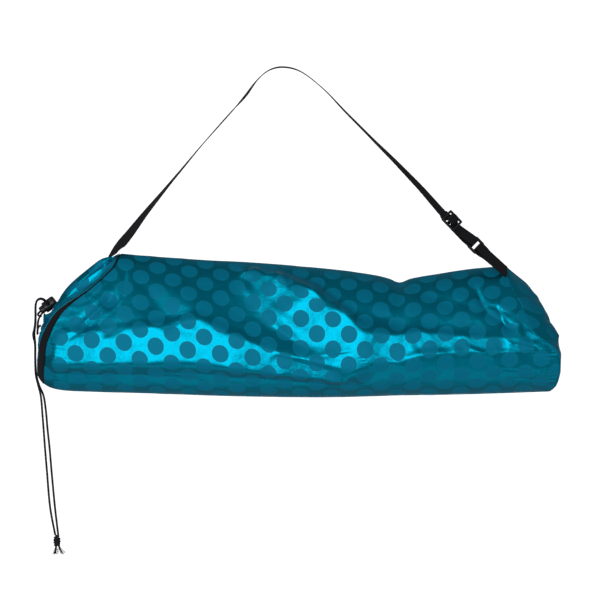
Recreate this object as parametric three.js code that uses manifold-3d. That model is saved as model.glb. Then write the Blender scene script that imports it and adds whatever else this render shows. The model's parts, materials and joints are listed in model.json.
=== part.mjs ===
// Yoga mat bag hanging by its shoulder strap: a dotted cloth tube with a slanted, gathered mouth
// at the left, a bulging base panel at the right, a webbing strap with slider and ring, and a
// drawcord with a spring lock. Millimetres, +Z up, +X to the right, the front faces -Y.
// The origin is where the bag hangs: the underside of the strap at its crown.

import * as THREE from "three";
import { mergeVertices } from "three/addons/utils/BufferGeometryUtils.js";
import Module from "manifold-3d";

// Driving dimensions: cloth
const bodyLength = 650;
const bodyHeight = 170;
const bodyDepth = 126;
const clothWall = 1.5;
const mouthSlant = 94;
const baseSlant = 65;
const foldLift = 10;
const seamGap = 0.55;

// Driving dimensions: mouth
const bandWidth = 8;
const bandProud = 0.6;
const holeRadius = 5.5;
const holeHeight = 0.553 * bodyHeight;
const neckInset = 3;
const collarPuff = 10;
const frillLength = 4.5;
const frillFlare = 1.5;
const gatherCount = 16;
const gatherDepth = 1.4;

// Driving dimensions: strap
const strapWidth = 20;
const strapThickness = 1.3;
const strapRise = 240;
const tabLength = 46;
const webbingGap = 0.4;
const sliderFromRing = 38;
const barThickness = 2.4;
const barWidth = 3;
const sliderSlot = 6.5;
const railWidth = 3;
const railGap = 1;
const ringSlot = 8;
const seatGap = 0.3;

// Driving dimensions: drawcord and its lock
const cordDiameter = 2.8;
const cordClearance = 0.5;
const barrelLength = 17.5;
const barrelDiameter = 14.5;
const barrelWall = 2;
const barrelEndWall = 2.5;
const buttonStickOut = 6.5;
const buttonTravel = 4;
const buttonClearance = 0.3;
const buttonWeb = 1.5;
const knotLength = 13;
const knotDiameter = 9.5;
const tipLength = 11;

// How finely the cloth is faceted
const around = 3 * gatherCount;
const bodyStations = 29;
const panelRings = 6;
const freeSteps = 44;
const sewnSteps = 2;
const slopeStep = 0.004;

const wasm = await Module();
wasm.setup();

// Finishes
const cloth = new THREE.MeshStandardMaterial({ color: 0x0a8fb4, roughness: 0.35, metalness: 0.3 });
const ribbon = new THREE.MeshStandardMaterial({ color: 0x141214, roughness: 0.6, metalness: 0 });
const webbing = new THREE.MeshStandardMaterial({ color: 0x161616, roughness: 0.75, metalness: 0 });
const plastic = new THREE.MeshStandardMaterial({ color: 0x1c1c1e, roughness: 0.35, metalness: 0 });
const cordWeave = new THREE.MeshStandardMaterial({ color: 0x0e0e0f, roughness: 0.7, metalness: 0 });

// The body's outline. along is a share of its length, from the lowest point of the mouth, and
// height a share of its height
const topLine = [
  { along: -0.03, height: 1.02 },
  { along: 0.08, height: 1.03 },
  { along: 0.142, height: 1.05 },
  { along: 0.19, height: 1.038 },
  { along: 0.3, height: 1.008 },
  { along: 0.43, height: 0.98 },
  { along: 0.56, height: 0.937 },
  { along: 0.635, height: 0.9 },
  { along: 0.672, height: 0.868 },
  { along: 0.693, height: 0.838 },
  { along: 0.715, height: 0.866 },
  { along: 0.76, height: 0.897 },
  { along: 0.84, height: 0.942 },
  { along: 0.91, height: 0.957 },
  { along: 1, height: 0.95 },
];
const underLine = [
  { along: -0.03, height: 0.23 },
  { along: -0.0125, height: 0.135 },
  { along: 0, height: 0.075 },
  { along: 0.025, height: 0.037 },
  { along: 0.07, height: 0.022 },
  { along: 0.2, height: 0.008 },
  { along: 0.37, height: -0.014 },
  { along: 0.55, height: -0.022 },
  { along: 0.7, height: -0.008 },
  { along: 0.82, height: 0 },
  { along: 0.92, height: 0.012 },
  { along: 0.985, height: 0.022 },
  { along: 1.03, height: 0.03 },
];

// How deep the body is front to back, and how sharp its top ridge is, along its length
const girth = [
  { along: -0.03, depth: 0.68, ridge: 1.7 },
  { along: 0.02, depth: 0.72, ridge: 1.7 },
  { along: 0.14, depth: 0.88, ridge: 1.6 },
  { along: 0.4, depth: 1, ridge: 1.4 },
  { along: 0.75, depth: 1, ridge: 1.35 },
  { along: 0.95, depth: 0.94, ridge: 1.7 },
  { along: 1.03, depth: 0.9, ridge: 1.7 },
];

// The widest place of the section, as a share of its height, and how round its underside is
const bellyHeight = 0.36;
const undersideRoundness = 1.11;

// The mouth seam. back is a share of the mouth's slant
const mouthSeam = [
  { up: 0, back: 0 },
  { up: 0.1, back: 0.008 },
  { up: 0.18, back: 0.026 },
  { up: 0.32, back: 0.056 },
  { up: 0.43, back: 0.115 },
  { up: 0.56, back: 0.235 },
  { up: 0.64, back: 0.365 },
  { up: 0.77, back: 0.67 },
  { up: 0.885, back: 0.92 },
  { up: 0.96, back: 1 },
  { up: 1, back: 1.02 },
];

// The base seam. back is how far it stands back from its farthest point, bulge how far the panel
// swells out of it in the middle, both shares of the base's slant
const baseSeam = [
  { up: 0, back: 0.157, bulge: 0 },
  { up: 0.04, back: 0.07, bulge: 0.03 },
  { up: 0.1, back: 0.02, bulge: 0.04 },
  { up: 0.2, back: 0, bulge: 0.04 },
  { up: 0.3, back: 0.03, bulge: 0.06 },
  { up: 0.36, back: 0.12, bulge: 0.13 },
  { up: 0.41, back: 0.3, bulge: 0.3 },
  { up: 0.48, back: 0.52, bulge: 0.49 },
  { up: 0.56, back: 0.65, bulge: 0.53 },
  { up: 0.68, back: 0.72, bulge: 0.45 },
  { up: 0.78, back: 0.86, bulge: 0.46 },
  { up: 0.88, back: 0.94, bulge: 0.45 },
  { up: 0.97, back: 0.98, bulge: 0.28 },
  { up: 1, back: 1, bulge: 0.15 },
];

// Folds and dents. from and to are shares of the body's length and height, width is a share of
// its height, and lift a share of the fold lift, below zero for a dent
const frontFolds = [
  { from: [0.03, 0.36], to: [0.3, 0.31], width: 0.13, lift: 0.45 },
  { from: [0.3, 0.31], to: [0.6, 0.2], width: 0.12, lift: 0.5 },
  { from: [0.03, 0.16], to: [0.55, 0.1], width: 0.05, lift: -0.25 },
  { from: [0.39, 0.9], to: [0.5, 0.69], width: 0.1, lift: 0.55 },
  { from: [0.5, 0.69], to: [0.64, 0.42], width: 0.17, lift: 0.85 },
  { from: [0.64, 0.42], to: [0.75, 0.34], width: 0.15, lift: 0.75 },
  { from: [0.75, 0.34], to: [0.93, 0.39], width: 0.1, lift: 0.5 },
  { from: [0.36, 0.68], to: [0.44, 0.5], width: 0.13, lift: -0.65 },
  { from: [0.44, 0.5], to: [0.54, 0.33], width: 0.11, lift: -0.6 },
  { from: [0.5, 0.85], to: [0.6, 0.6], width: 0.08, lift: -0.5 },
  { from: [0.6, 0.6], to: [0.7, 0.52], width: 0.08, lift: -0.65 },
  { from: [0.7, 0.52], to: [0.97, 0.49], width: 0.07, lift: -0.55 },
  { from: [0.69, 0.86], to: [0.8, 0.66], width: 0.06, lift: -0.4 },
  { from: [0.14, 0.93], to: [0.13, 0.66], width: 0.05, lift: -0.4 },
  { from: [0.14, 0.74], to: [0.07, 0.45], width: 0.05, lift: -0.4 },
  { from: [0.2, 0.73], to: [0.29, 0.45], width: 0.1, lift: -0.4 },
  { from: [0.24, 0.8], to: [0.33, 0.55], width: 0.1, lift: 0.35 },
];
const backFolds = [
  { from: [0.08, 0.4], to: [0.45, 0.33], width: 0.14, lift: 0.4 },
  { from: [0.2, 0.92], to: [0.46, 0.5], width: 0.12, lift: -0.5 },
  { from: [0.35, 0.95], to: [0.62, 0.45], width: 0.14, lift: 0.6 },
  { from: [0.62, 0.45], to: [0.92, 0.34], width: 0.12, lift: 0.5 },
  { from: [0.68, 0.84], to: [0.82, 0.5], width: 0.1, lift: -0.5 },
  { from: [0.9, 0.9], to: [0.8, 0.6], width: 0.08, lift: 0.35 },
];

// The collar, from the band to the frill. toHole is the share of the way to the hole, puff a share
// of the collar's puff, gather of the gathers' depth, and out of the frill's length
const collarProfile = [
  { toHole: 0, puff: 0, gather: 0.1, out: 0 },
  { toHole: 0.15, puff: 0.6, gather: 0.4, out: 0 },
  { toHole: 0.36, puff: 0.74, gather: 0.7, out: 0 },
  { toHole: 0.56, puff: 0.7, gather: 0.95, out: 0 },
  { toHole: 0.7, puff: 0.38, gather: 1, out: 0 },
  { toHole: 0.81, puff: 0, gather: 0.85, out: 0 },
  { toHole: 0.95, puff: -0.04, gather: 0.5, out: 0 },
  { toHole: 1, puff: 0, gather: 0.4, out: 0.3 },
  { toHole: 1, puff: 0, gather: 0.7, out: 1 },
];

// The strap's route from its sewn end to the ring. along is a share of the span, rise of the
// strap's rise, and turn how far its face turns to the front, in degrees
const strapRoute = [
  { along: 0, rise: 0, turn: 44 },
  { along: 0.0135, rise: 0.035, turn: 42 },
  { along: 0.05, rise: 0.121, turn: 35 },
  { along: 0.1015, rise: 0.249, turn: 22 },
  { along: 0.157, rise: 0.378, turn: 11 },
  { along: 0.2125, rise: 0.507, turn: 6 },
  { along: 0.269, rise: 0.635, turn: 2 },
  { along: 0.329, rise: 0.764, turn: 1 },
  { along: 0.368, rise: 0.85, turn: 10 },
  { along: 0.402, rise: 0.936, turn: 4 },
  { along: 0.429, rise: 0.981, turn: 2 },
  { along: 0.456, rise: 1, turn: 0 },
  { along: 0.491, rise: 0.997, turn: 0 },
  { along: 0.524, rise: 0.973, turn: 2 },
  { along: 0.578, rise: 0.893, turn: 3 },
  { along: 0.643, rise: 0.764, turn: 7 },
  { along: 0.709, rise: 0.635, turn: 10 },
  { along: 0.7755, rise: 0.507, turn: 17 },
  { along: 0.84, rise: 0.378, turn: 24 },
];
const crownAlong = 0.456;
const ringTurn = 38;
const strapLean = 45.8;
const tabLean = 40.5;

// The two ends of the drawcord: points chosen by hand, from the middle of the hole
const frontCordPoints = [
  [-2.8, -3.4, -6.2], [-5.2, -3.6, -7.4], [-7, -3.2, -10.6], [-7.6, -1.2, -14.6], [-7.9, 2.8, -17],
  [-8.1, 7.4, -16.4], [-8.3, 11, -12.4], [-8.3, 13.4, -6.4], [-7.6, 16.4, 0.4], [-5, 20.6, 6.6],
  [-0.8, 24.8, 11.6], [3.4, 26.8, 14.8], [7.2, 25.6, 17], [9.9, 21.4, 17], [9.7, 14.9, 15.9],
  [5.4, -1.4, 21.6], [4.2, -5.4, 23.2], [1.8, -9.2, 25.3], [-2.8, -11, 27.2], [-7.2, -9.4, 25.4],
  [-9.4, -6.8, 20.4], [-9.9, -5, 13], [-10, -4.4, 4], [-10.4, -4.4, -4], [-11.4, -4.5, -11],
  [-12.7, -4.6, -16.6], [-12.4, -4, -21.6], [-11.2, -2.6, -26.6], [-10.6, -1.4, -33],
  [-10.6, -0.8, -45], [-10.4, -0.6, -58], [-9.6, -0.4, -70], [-6.8, -0.2, -82], [-3.6, 0, -95],
  [-1, 0, -124], [1.9, 0, -162], [4.4, 0, -192], [8.5, 0, -238], [14.9, 0, -272.6],
];
const backCordPoints = [
  [-2.8, 4.4, 5.2], [-5.6, 5.6, 5.8], [-7.6, 9, 7], [-7.6, 13.4, 8.8], [-5, 17.6, 11.6],
  [-1, 20.4, 15.4], [3, 21.4, 18.6], [6, 19.8, 19.6], [7.83, 16.24, 18.36], [3.5, -0.1, 24.1],
  [2.2, -3.8, 25.6], [-0.4, -6.4, 27.4], [-4.2, -7, 27.8], [-8, -5.2, 25], [-9.6, -3, 19.6],
  [-9.9, -1.4, 12], [-9.9, -0.8, 4], [-10.2, -0.7, -4], [-11, -0.6, -11], [-11.6, 0.6, -16.6],
  [-11.4, 2.2, -22], [-10.8, 3.2, -28], [-10.6, 3.4, -36], [-10.6, 3.4, -47], [-10.3, 3.6, -59],
  [-9, 3.8, -71], [-5.6, 3.8, -83], [-0.4, 3.4, -95], [2.6, 3, -113], [5.1, 2, -139],
  [7.6, 1.4, -162], [10.2, 1, -192], [14.6, 0.4, -238], [18.7, 0, -272.6],
];

const holeX = neckInset - frillLength;

// A smooth curve through the rows of a table, as a function of one column
function through(rows, column, value) {
  const xs = rows.map((row) => row[column]);
  const ys = rows.map((row) => row[value]);
  const slopes = xs.map((x, i) => {
    const before = Math.max(i - 1, 0);
    const after = Math.min(i + 1, xs.length - 1);
    return (ys[after] - ys[before]) / (xs[after] - xs[before]);
  });
  return (at) => {
    const x = THREE.MathUtils.clamp(at, xs[0], xs[xs.length - 1]);
    let i = 0;
    while (i < xs.length - 2 && x > xs[i + 1]) {
      i += 1;
    }
    const step = xs[i + 1] - xs[i];
    const t = (x - xs[i]) / step;
    const eased = t * t * (3 - 2 * t);
    const bend = step * t * (1 - t) * ((1 - t) * slopes[i] - t * slopes[i + 1]);
    return ys[i] * (1 - eased) + ys[i + 1] * eased + bend;
  };
}

const topHeight = through(topLine, "along", "height");
const underHeight = through(underLine, "along", "height");
const depthShare = through(girth, "along", "depth");
const ridgeSharpness = through(girth, "along", "ridge");
const mouthBack = through(mouthSeam, "up", "back");
const baseBack = through(baseSeam, "up", "back");
const baseBulge = through(baseSeam, "up", "bulge");

// The loop of cloth at an angle, 0 at the underside and a quarter turn at the front
function loopAt(angle) {
  const low = Math.cos(angle) > 0;
  const height = Math.abs(Math.cos(angle));
  const up = low
    ? bellyHeight * (1 - Math.pow(height, undersideRoundness))
    : bellyHeight + (1 - bellyHeight) * height;
  return { low, up, side: Math.sin(angle) };
}

// Half the body's depth at a share of its length and height
function halfDepth(share, side, low) {
  const power = low ? undersideRoundness : ridgeSharpness(share);
  return (bodyDepth / 2) * depthShare(share) * Math.pow(Math.abs(side), power);
}

function heightAt(share, up) {
  return bodyHeight * THREE.MathUtils.lerp(underHeight(share), topHeight(share), up);
}

// A point of the cloth loop at a distance along the body
function loopPoint(x, angle) {
  const { low, up, side } = loopAt(angle);
  const share = x / bodyLength;
  return new THREE.Vector3(x, -Math.sign(side) * halfDepth(share, side, low), heightAt(share, up));
}

function mouthX(angle) {
  return mouthSlant * mouthBack(loopAt(angle).up);
}

function baseX(angle) {
  return bodyLength - baseSlant * baseBack(loopAt(angle).up);
}

// How far one fold lifts the cloth at a point seen from the front
function foldLiftAt(fold, x, z) {
  const start = new THREE.Vector2(fold.from[0] * bodyLength, fold.from[1] * bodyHeight);
  const run = new THREE.Vector2(fold.to[0] * bodyLength, fold.to[1] * bodyHeight).sub(start);
  const offset = new THREE.Vector2(x, z).sub(start);
  const width = fold.width * bodyHeight;
  const length = run.length();
  const at = offset.dot(run) / length;
  const aside = offset.cross(run) / length;
  const fadeIn = THREE.MathUtils.smoothstep(at, -width, width);
  const fadeOut = 1 - THREE.MathUtils.smoothstep(at, length - width, length + width);
  return foldLift * fold.lift * fadeIn * fadeOut * Math.exp(-Math.pow(aside / width, 2));
}

function foldsAt(point, side, along) {
  const folds = side > 0 ? frontFolds : backFolds;
  const facing = Math.pow(Math.abs(side), 0.8);
  const seams = THREE.MathUtils.smoothstep(along, 0, 0.05) * (1 - THREE.MathUtils.smoothstep(along, 0.95, 1));
  return folds.reduce((sum, fold) => sum + foldLiftAt(fold, point.x, point.z), 0) * facing * seams;
}

// The outward normal of a surface given as a function of two values
function normalOf(surface, u, v) {
  const du = surface(u + slopeStep, v).sub(surface(u - slopeStep, v));
  const dv = surface(u, v + slopeStep).sub(surface(u, v - slopeStep));
  return du.cross(dv).normalize();
}

function smoothBody(along, angle) {
  const x = THREE.MathUtils.lerp(mouthX(angle), baseX(angle) - seamGap, along);
  return loopPoint(x, angle);
}

function foldedBody(along, angle) {
  const point = smoothBody(along, angle);
  const out = normalOf(smoothBody, along, angle);
  return point.addScaledVector(out, foldsAt(point, Math.sin(angle), along));
}

// Closed mesh from a grid of rows; each row is a loop, and its rows run from left to right
function tubeShell(name, outer, inner, material) {
  const loops = [...outer, ...inner.slice().reverse()];
  const vertices = loops.flat().flatMap((point) => point.toArray());
  const triangles = [];
  loops.forEach((loop, i) => {
    const next = (i + 1) % loops.length;
    loop.forEach((_, j) => {
      const k = (j + 1) % around;
      const a = i * around + j;
      const b = next * around + j;
      const c = next * around + k;
      const d = i * around + k;
      triangles.push(a, b, c, a, c, d);
    });
  });
  return meshOf(name, vertices, triangles, material);
}

function meshOf(name, vertices, triangles, material) {
  const geometry = new THREE.BufferGeometry();
  geometry.setAttribute("position", new THREE.Float32BufferAttribute(vertices, 3));
  geometry.setIndex(triangles);
  geometry.computeVertexNormals();
  const mesh = new THREE.Mesh(geometry, material);
  mesh.name = name;
  return mesh;
}

function loopOf(pointAt) {
  return Array.from({ length: around }, (_, j) => pointAt((2 * Math.PI * j) / around));
}

function rowsOf(count, rowAt) {
  return Array.from({ length: count }, (_, i) => rowAt(i / (count - 1)));
}

// The dotted cloth tube, open at the mouth and at the base seam
function bodyPanel() {
  const outer = rowsOf(bodyStations, (along) => loopOf((angle) => foldedBody(along, angle)));
  const inner = rowsOf(bodyStations, (along) =>
    loopOf((angle) => {
      const out = normalOf(foldedBody, along, angle);
      return foldedBody(along, angle).addScaledVector(out, -clothWall);
    }),
  );
  return tubeShell("body_panel", outer, inner, cloth);
}

// A point of the base panel's inner face; ring is 1 at the seam and 0 in the middle
function panelPoint(ring, angle) {
  const rim = loopPoint(baseX(angle), angle);
  const share = baseX(angle) / bodyLength;
  const low = heightAt(share, 0);
  const high = heightAt(share, 1);
  const middle = (low + high) / 2;
  const y = ring * rim.y;
  const z = middle + ring * (rim.z - middle);
  const up = THREE.MathUtils.clamp((z - low) / (high - low), 0, 1);
  const swell = 1 - Math.pow(ring, 4);
  return new THREE.Vector3(bodyLength - baseSlant * (baseBack(up) - baseBulge(up) * swell), y, z);
}

// The cloth disc sewn to the body's right end
function basePanel() {
  const rings = rowsOf(panelRings, (inward) => 1 - inward).slice(0, -1);
  const left = rings.map((ring) => loopOf((angle) => panelPoint(ring, angle)));
  const outward = new THREE.Vector3(clothWall, 0, 0);
  const right = left.map((loop) => loop.map((point) => point.clone().add(outward)));
  const centre = panelPoint(0, Math.PI / 2);
  const loops = [...left.slice().reverse(), ...right];
  const vertices = loops.flat().flatMap((point) => point.toArray());
  vertices.push(...centre.toArray(), centre.x + clothWall, centre.y, centre.z);
  const leftCentre = loops.length * around;
  const rightCentre = leftCentre + 1;
  const last = (loops.length - 1) * around;
  const triangles = [];
  for (let j = 0; j < around; j += 1) {
    const k = (j + 1) % around;
    for (let i = 0; i < loops.length - 1; i += 1) {
      const a = i * around + j;
      const b = (i + 1) * around + j;
      const c = (i + 1) * around + k;
      const d = i * around + k;
      triangles.push(a, b, c, a, c, d);
    }
    triangles.push(leftCentre, j, k);
    triangles.push(last + j, rightCentre, last + k);
  }
  return meshOf("base_panel", vertices, triangles, cloth);
}

// The black ribbon ring, from the collar's edge to the body's
function bandPoint(across, angle, out) {
  const x = mouthX(angle) - THREE.MathUtils.lerp(bandWidth, seamGap, across);
  const surface = (along, at) => loopPoint(mouthX(at) + along, at);
  return loopPoint(x, angle).addScaledVector(normalOf(surface, x - mouthX(angle), angle), out);
}

function mouthBand() {
  const outer = rowsOf(3, (across) => {
    const crown = 1 - Math.pow(2 * across - 1, 2);
    return loopOf((angle) => bandPoint(across, angle, bandProud * crown));
  });
  const inner = rowsOf(3, (across) => loopOf((angle) => bandPoint(across, angle, -clothWall)));
  return tubeShell("mouth_band", outer, inner, ribbon);
}

// A point of the collar's inner face between the band, row 0, and the lip of the frill, the last row
const profileRows = collarProfile.map((row, i) => ({ ...row, row: i }));
const collarToHole = through(profileRows, "row", "toHole");
const collarPuffAt = through(profileRows, "row", "puff");
const collarGather = through(profileRows, "row", "gather");
const collarOut = through(profileRows, "row", "out");
const puffDirection = new THREE.Vector3(-0.87, 0, 0.5);
const puffBelow = 0.25;
const flushRows = 0.6;

function collarInside(row, angle) {
  const edge = bandPoint(0, angle, -clothWall).sub(new THREE.Vector3(seamGap, 0, 0));
  const out = collarOut(row);
  const radius = holeRadius + frillFlare * out;
  const side = -radius * Math.sin(angle);
  const hole = new THREE.Vector3(neckInset - frillLength * out, side, holeHeight - radius * Math.cos(angle));
  const puff = collarPuff * collarPuffAt(row) * THREE.MathUtils.lerp(puffBelow, 1, loopAt(angle).up);
  return edge.lerp(hole, collarToHole(row)).addScaledVector(puffDirection, puff);
}

function collarOutside(row, angle, pleatPhase) {
  const smooth = normalOf((r, a) => collarInside(-r, a), -row, angle);
  const flush = bandPoint(0, angle, 1).sub(bandPoint(0, angle, 0));
  const out = smooth.lerp(flush, 1 - THREE.MathUtils.smoothstep(row, 0, flushRows)).normalize();
  const pleat = gatherDepth * collarGather(row) * (0.5 + 0.5 * pleatPhase);
  return collarInside(row, angle).addScaledVector(out, clothWall + pleat);
}

// The gathered cloth that closes the mouth down to its frilled hole
function mouthCollar() {
  const rows = profileRows.map((_, i) => profileRows.length - 1 - i);
  const outer = rows.map((row) =>
    loopOf((angle) => collarOutside(row, angle, Math.cos(gatherCount * angle))),
  );
  const inner = rows.map((row) => loopOf((angle) => collarInside(row, angle)));
  return tubeShell("mouth_collar", outer, inner, cloth);
}

// Where the strap and its tab are sewn on, from the lowest point of the mouth
const footRow = 0.5;
const footReach = 0.2;
const footLift = 3 * strapThickness;
const footTurn = THREE.MathUtils.degToRad(29.4);
const foot = collarOutside(footRow, Math.PI, 1).add(new THREE.Vector3(0, 0, footLift));
const footUp = collarOutside(footRow - footReach, Math.PI, 1);
const footSlope = footUp.sub(collarOutside(footRow + footReach, Math.PI, 1)).normalize();
const footFront = new THREE.Vector3(0, -Math.sin(footTurn), 0);
const footAcross = footSlope.multiplyScalar(Math.cos(footTurn)).add(footFront);
const tabAngle = Math.PI - 0.41;
const tabAcross = new THREE.Vector3(-0.1, -0.75, -0.65).normalize();
const tabSurface = (along, angle) => loopPoint(baseX(angle) + along, angle);
const tabSeat = tabSurface(-strapThickness, tabAngle).addScaledVector(
  normalOf(tabSurface, -strapThickness, tabAngle),
  seatGap + strapThickness + webbingGap / 2,
);

// A direction in the plane of the strap, leaning down to the right by an angle in degrees
function downRight(lean) {
  const angle = THREE.MathUtils.degToRad(lean);
  return new THREE.Vector3(Math.cos(angle), 0, -Math.sin(angle));
}

// The direction across a strap that runs along a tangent, turned to the front by an angle
function acrossAt(tangent, turn) {
  const angle = THREE.MathUtils.degToRad(turn);
  const inner = new THREE.Vector3(tangent.z, 0, -tangent.x);
  return inner.multiplyScalar(Math.sin(angle)).add(new THREE.Vector3(0, -Math.cos(angle), 0)).normalize();
}

const strapDown = downRight(strapLean);
const tabDown = downRight(tabLean);
const strapAcross = acrossAt(strapDown, ringTurn);
const strapFace = strapAcross.clone().cross(strapDown);
const ringPitch = ringSlot + barWidth;
const lowerBar = tabSeat.clone().addScaledVector(tabDown, -tabLength);
const ringMiddle = lowerBar.clone().addScaledVector(strapDown, -ringPitch / 2);
const upperBar = lowerBar.clone().addScaledVector(strapDown, -ringPitch);
const sliderMiddle = upperBar.clone().addScaledVector(strapDown, -sliderFromRing);
const span = ringMiddle.x - foot.x;

// Webbing swept through frames, each with its centre and its direction across
function sweptWebbing(name, frames) {
  const vertices = [];
  frames.forEach((frame, i) => {
    const before = frames[Math.max(i - 1, 0)].centre;
    const after = frames[Math.min(i + 1, frames.length - 1)].centre;
    const tangent = after.clone().sub(before);
    const face = frame.across.clone().cross(tangent).normalize();
    [[-1, -1], [-1, 1], [1, 1], [1, -1]].forEach(([side, up]) => {
      const corner = frame.centre.clone()
        .addScaledVector(frame.across, (side * strapWidth) / 2)
        .addScaledVector(face, (up * strapThickness) / 2);
      vertices.push(...corner.toArray());
    });
  });
  const triangles = [0, 2, 1, 0, 3, 2];
  for (let i = 0; i < frames.length - 1; i += 1) {
    for (let j = 0; j < 4; j += 1) {
      const a = 4 * i + j;
      const b = 4 * i + ((j + 1) % 4);
      triangles.push(a, b, b + 4, a, b + 4, a + 4);
    }
  }
  const last = 4 * (frames.length - 1);
  triangles.push(last, last + 1, last + 2, last, last + 2, last + 3);
  return meshOf(name, vertices, triangles, webbing);
}

// How the strap threads the slider. slot is a share of the slot from the middle bar's edge, and
// off how far it lies off the bars, 1 over the wrapped middle bar and -1 under the outer bars
const threading = [
  { slot: -0.231, off: 1 },
  { slot: 0.14, off: 1 },
  { slot: 0.41, off: 0.63 },
  { slot: 0.6, off: 0.05 },
  { slot: 0.88, off: -1 },
  { slot: 1.75, off: -1 },
];

// How the strap's end wraps the middle bar, each column 1 where the webbing lies against the bar
const wrapping = [
  { beside: 1, off: 0.62 },
  { beside: 0.78, off: 0.96 },
  { beside: 0, off: 1 },
  { beside: -0.78, off: 0.96 },
  { beside: -1, off: 0.62 },
  { beside: -1, off: -0.62 },
  { beside: -0.78, off: -0.96 },
  { beside: 0, off: -1 },
  { beside: 0.43, off: -1 },
];

// How the strap's end comes back from the ring under the lower bar. clear is a share of the slot
// from the middle bar's edge, and off how far it lies under the bars
const comingBack = [
  { clear: 4.12, off: -1 },
  { clear: 2.65, off: -1 },
  { clear: 1.15, off: -1 },
  { clear: 0.69, off: -0.91 },
  { clear: 0.29, off: -0.41 },
  { clear: 0.17, off: 0 },
];

// How a webbing goes round a bar of the ring, in degrees each side of the bend's middle
const bendDegrees = [-105, -70, -35, 0, 35, 70, 105];

// The strap from its foot over the crown, through the slider, round the ring and back
function shoulderStrap() {
  const half = strapThickness / 2;
  const against = barThickness / 2 + webbingGap + half;
  const outside = against + strapThickness + webbingGap;
  const bend = barWidth * Math.SQRT1_2 + webbingGap + half;
  const barEdge = barWidth / 2;
  const local = (along, off) => ({
    centre: upperBar.clone().addScaledVector(strapDown, along).addScaledVector(strapFace, off),
    across: strapAcross,
  });
  const threaded = (side) => threading.map((row) => {
    const off = row.off > 0 ? row.off * outside : row.off * against;
    return local(-sliderFromRing + side * (barEdge + row.slot * sliderSlot), off);
  });
  const into = threaded(-1).reverse();
  const outOf = threaded(1).slice(1);
  const roundRing = bendDegrees.map((degrees) => {
    const angle = THREE.MathUtils.degToRad(-degrees);
    return local(bend * Math.cos(angle), bend * Math.sin(angle));
  });
  const back = comingBack.map((row) =>
    local(-sliderFromRing + barEdge + row.clear * sliderSlot, row.off * outside),
  );
  const beside = barEdge + webbingGap + half;
  const wrap = wrapping.map((row) => local(-sliderFromRing + row.beside * beside, row.off * against));

  const forward = (along) => Math.max(0, (along - crownAlong) / (1 - crownAlong)) * upperBar.y;
  const route = strapRoute.map((row) =>
    new THREE.Vector3(foot.x + row.along * span, forward(row.along), foot.z + row.rise * strapRise),
  );
  const curve = new THREE.CatmullRomCurve3([...route, into[0].centre], false, "centripetal");
  const turnAt = through([...strapRoute, { along: 1, turn: ringTurn }], "along", "turn");
  const free = Array.from({ length: freeSteps }, (_, i) => {
    const centre = curve.getPointAt(i / freeSteps);
    const tangent = curve.getTangentAt(i / freeSteps);
    const sewn = 1 - THREE.MathUtils.smoothstep(i, 0, sewnSteps);
    const across = acrossAt(tangent, turnAt((centre.x - foot.x) / span)).lerp(footAcross, sewn).normalize();
    return { centre, across };
  });
  return sweptWebbing("shoulder_strap", [...free, ...into, ...outOf, ...roundRing, ...back, ...wrap]);
}

// One layer of the tab, from the ring to its sewn end. along is a share of the tab's length, apart
// and bend are shares of how far the layers lie apart and of the bend round the bar
const tabLayer = [
  { along: 0.12, apart: 0, bend: 0.85 },
  { along: 0.3, apart: 0, bend: 0.35 },
  { along: 0.5, apart: 1, bend: 0 },
  { along: 0.75, apart: 1, bend: 0 },
  { along: 1, apart: 1, bend: 0 },
];
const tabTwistFrom = 0.25;

// The doubled tab from the base seam round the ring's lower bar and back
function strapTab() {
  const apart = (strapThickness + webbingGap) / 2;
  const bend = barWidth * Math.SQRT1_2 + webbingGap + strapThickness / 2;
  const local = (along, off) => {
    const twist = THREE.MathUtils.smoothstep(along, tabTwistFrom, 1);
    const across = strapAcross.clone().lerp(tabAcross, twist).normalize();
    const face = across.clone().cross(tabDown).normalize();
    const centre = lowerBar.clone().addScaledVector(tabDown, along * tabLength).addScaledVector(face, off);
    return { centre, across };
  };
  const layer = (side) => tabLayer.map((row) =>
    local(row.along, side * (row.apart * apart + row.bend * bend)),
  );
  const roundBar = bendDegrees.map((degrees) => {
    const angle = THREE.MathUtils.degToRad(180 + degrees);
    return local((bend * Math.cos(angle)) / tabLength, bend * Math.sin(angle));
  });
  return sweptWebbing("strap_tab", [...layer(1).reverse(), ...roundBar, ...layer(-1)]);
}

const frameCorner = 0.6 * railWidth;

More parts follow.
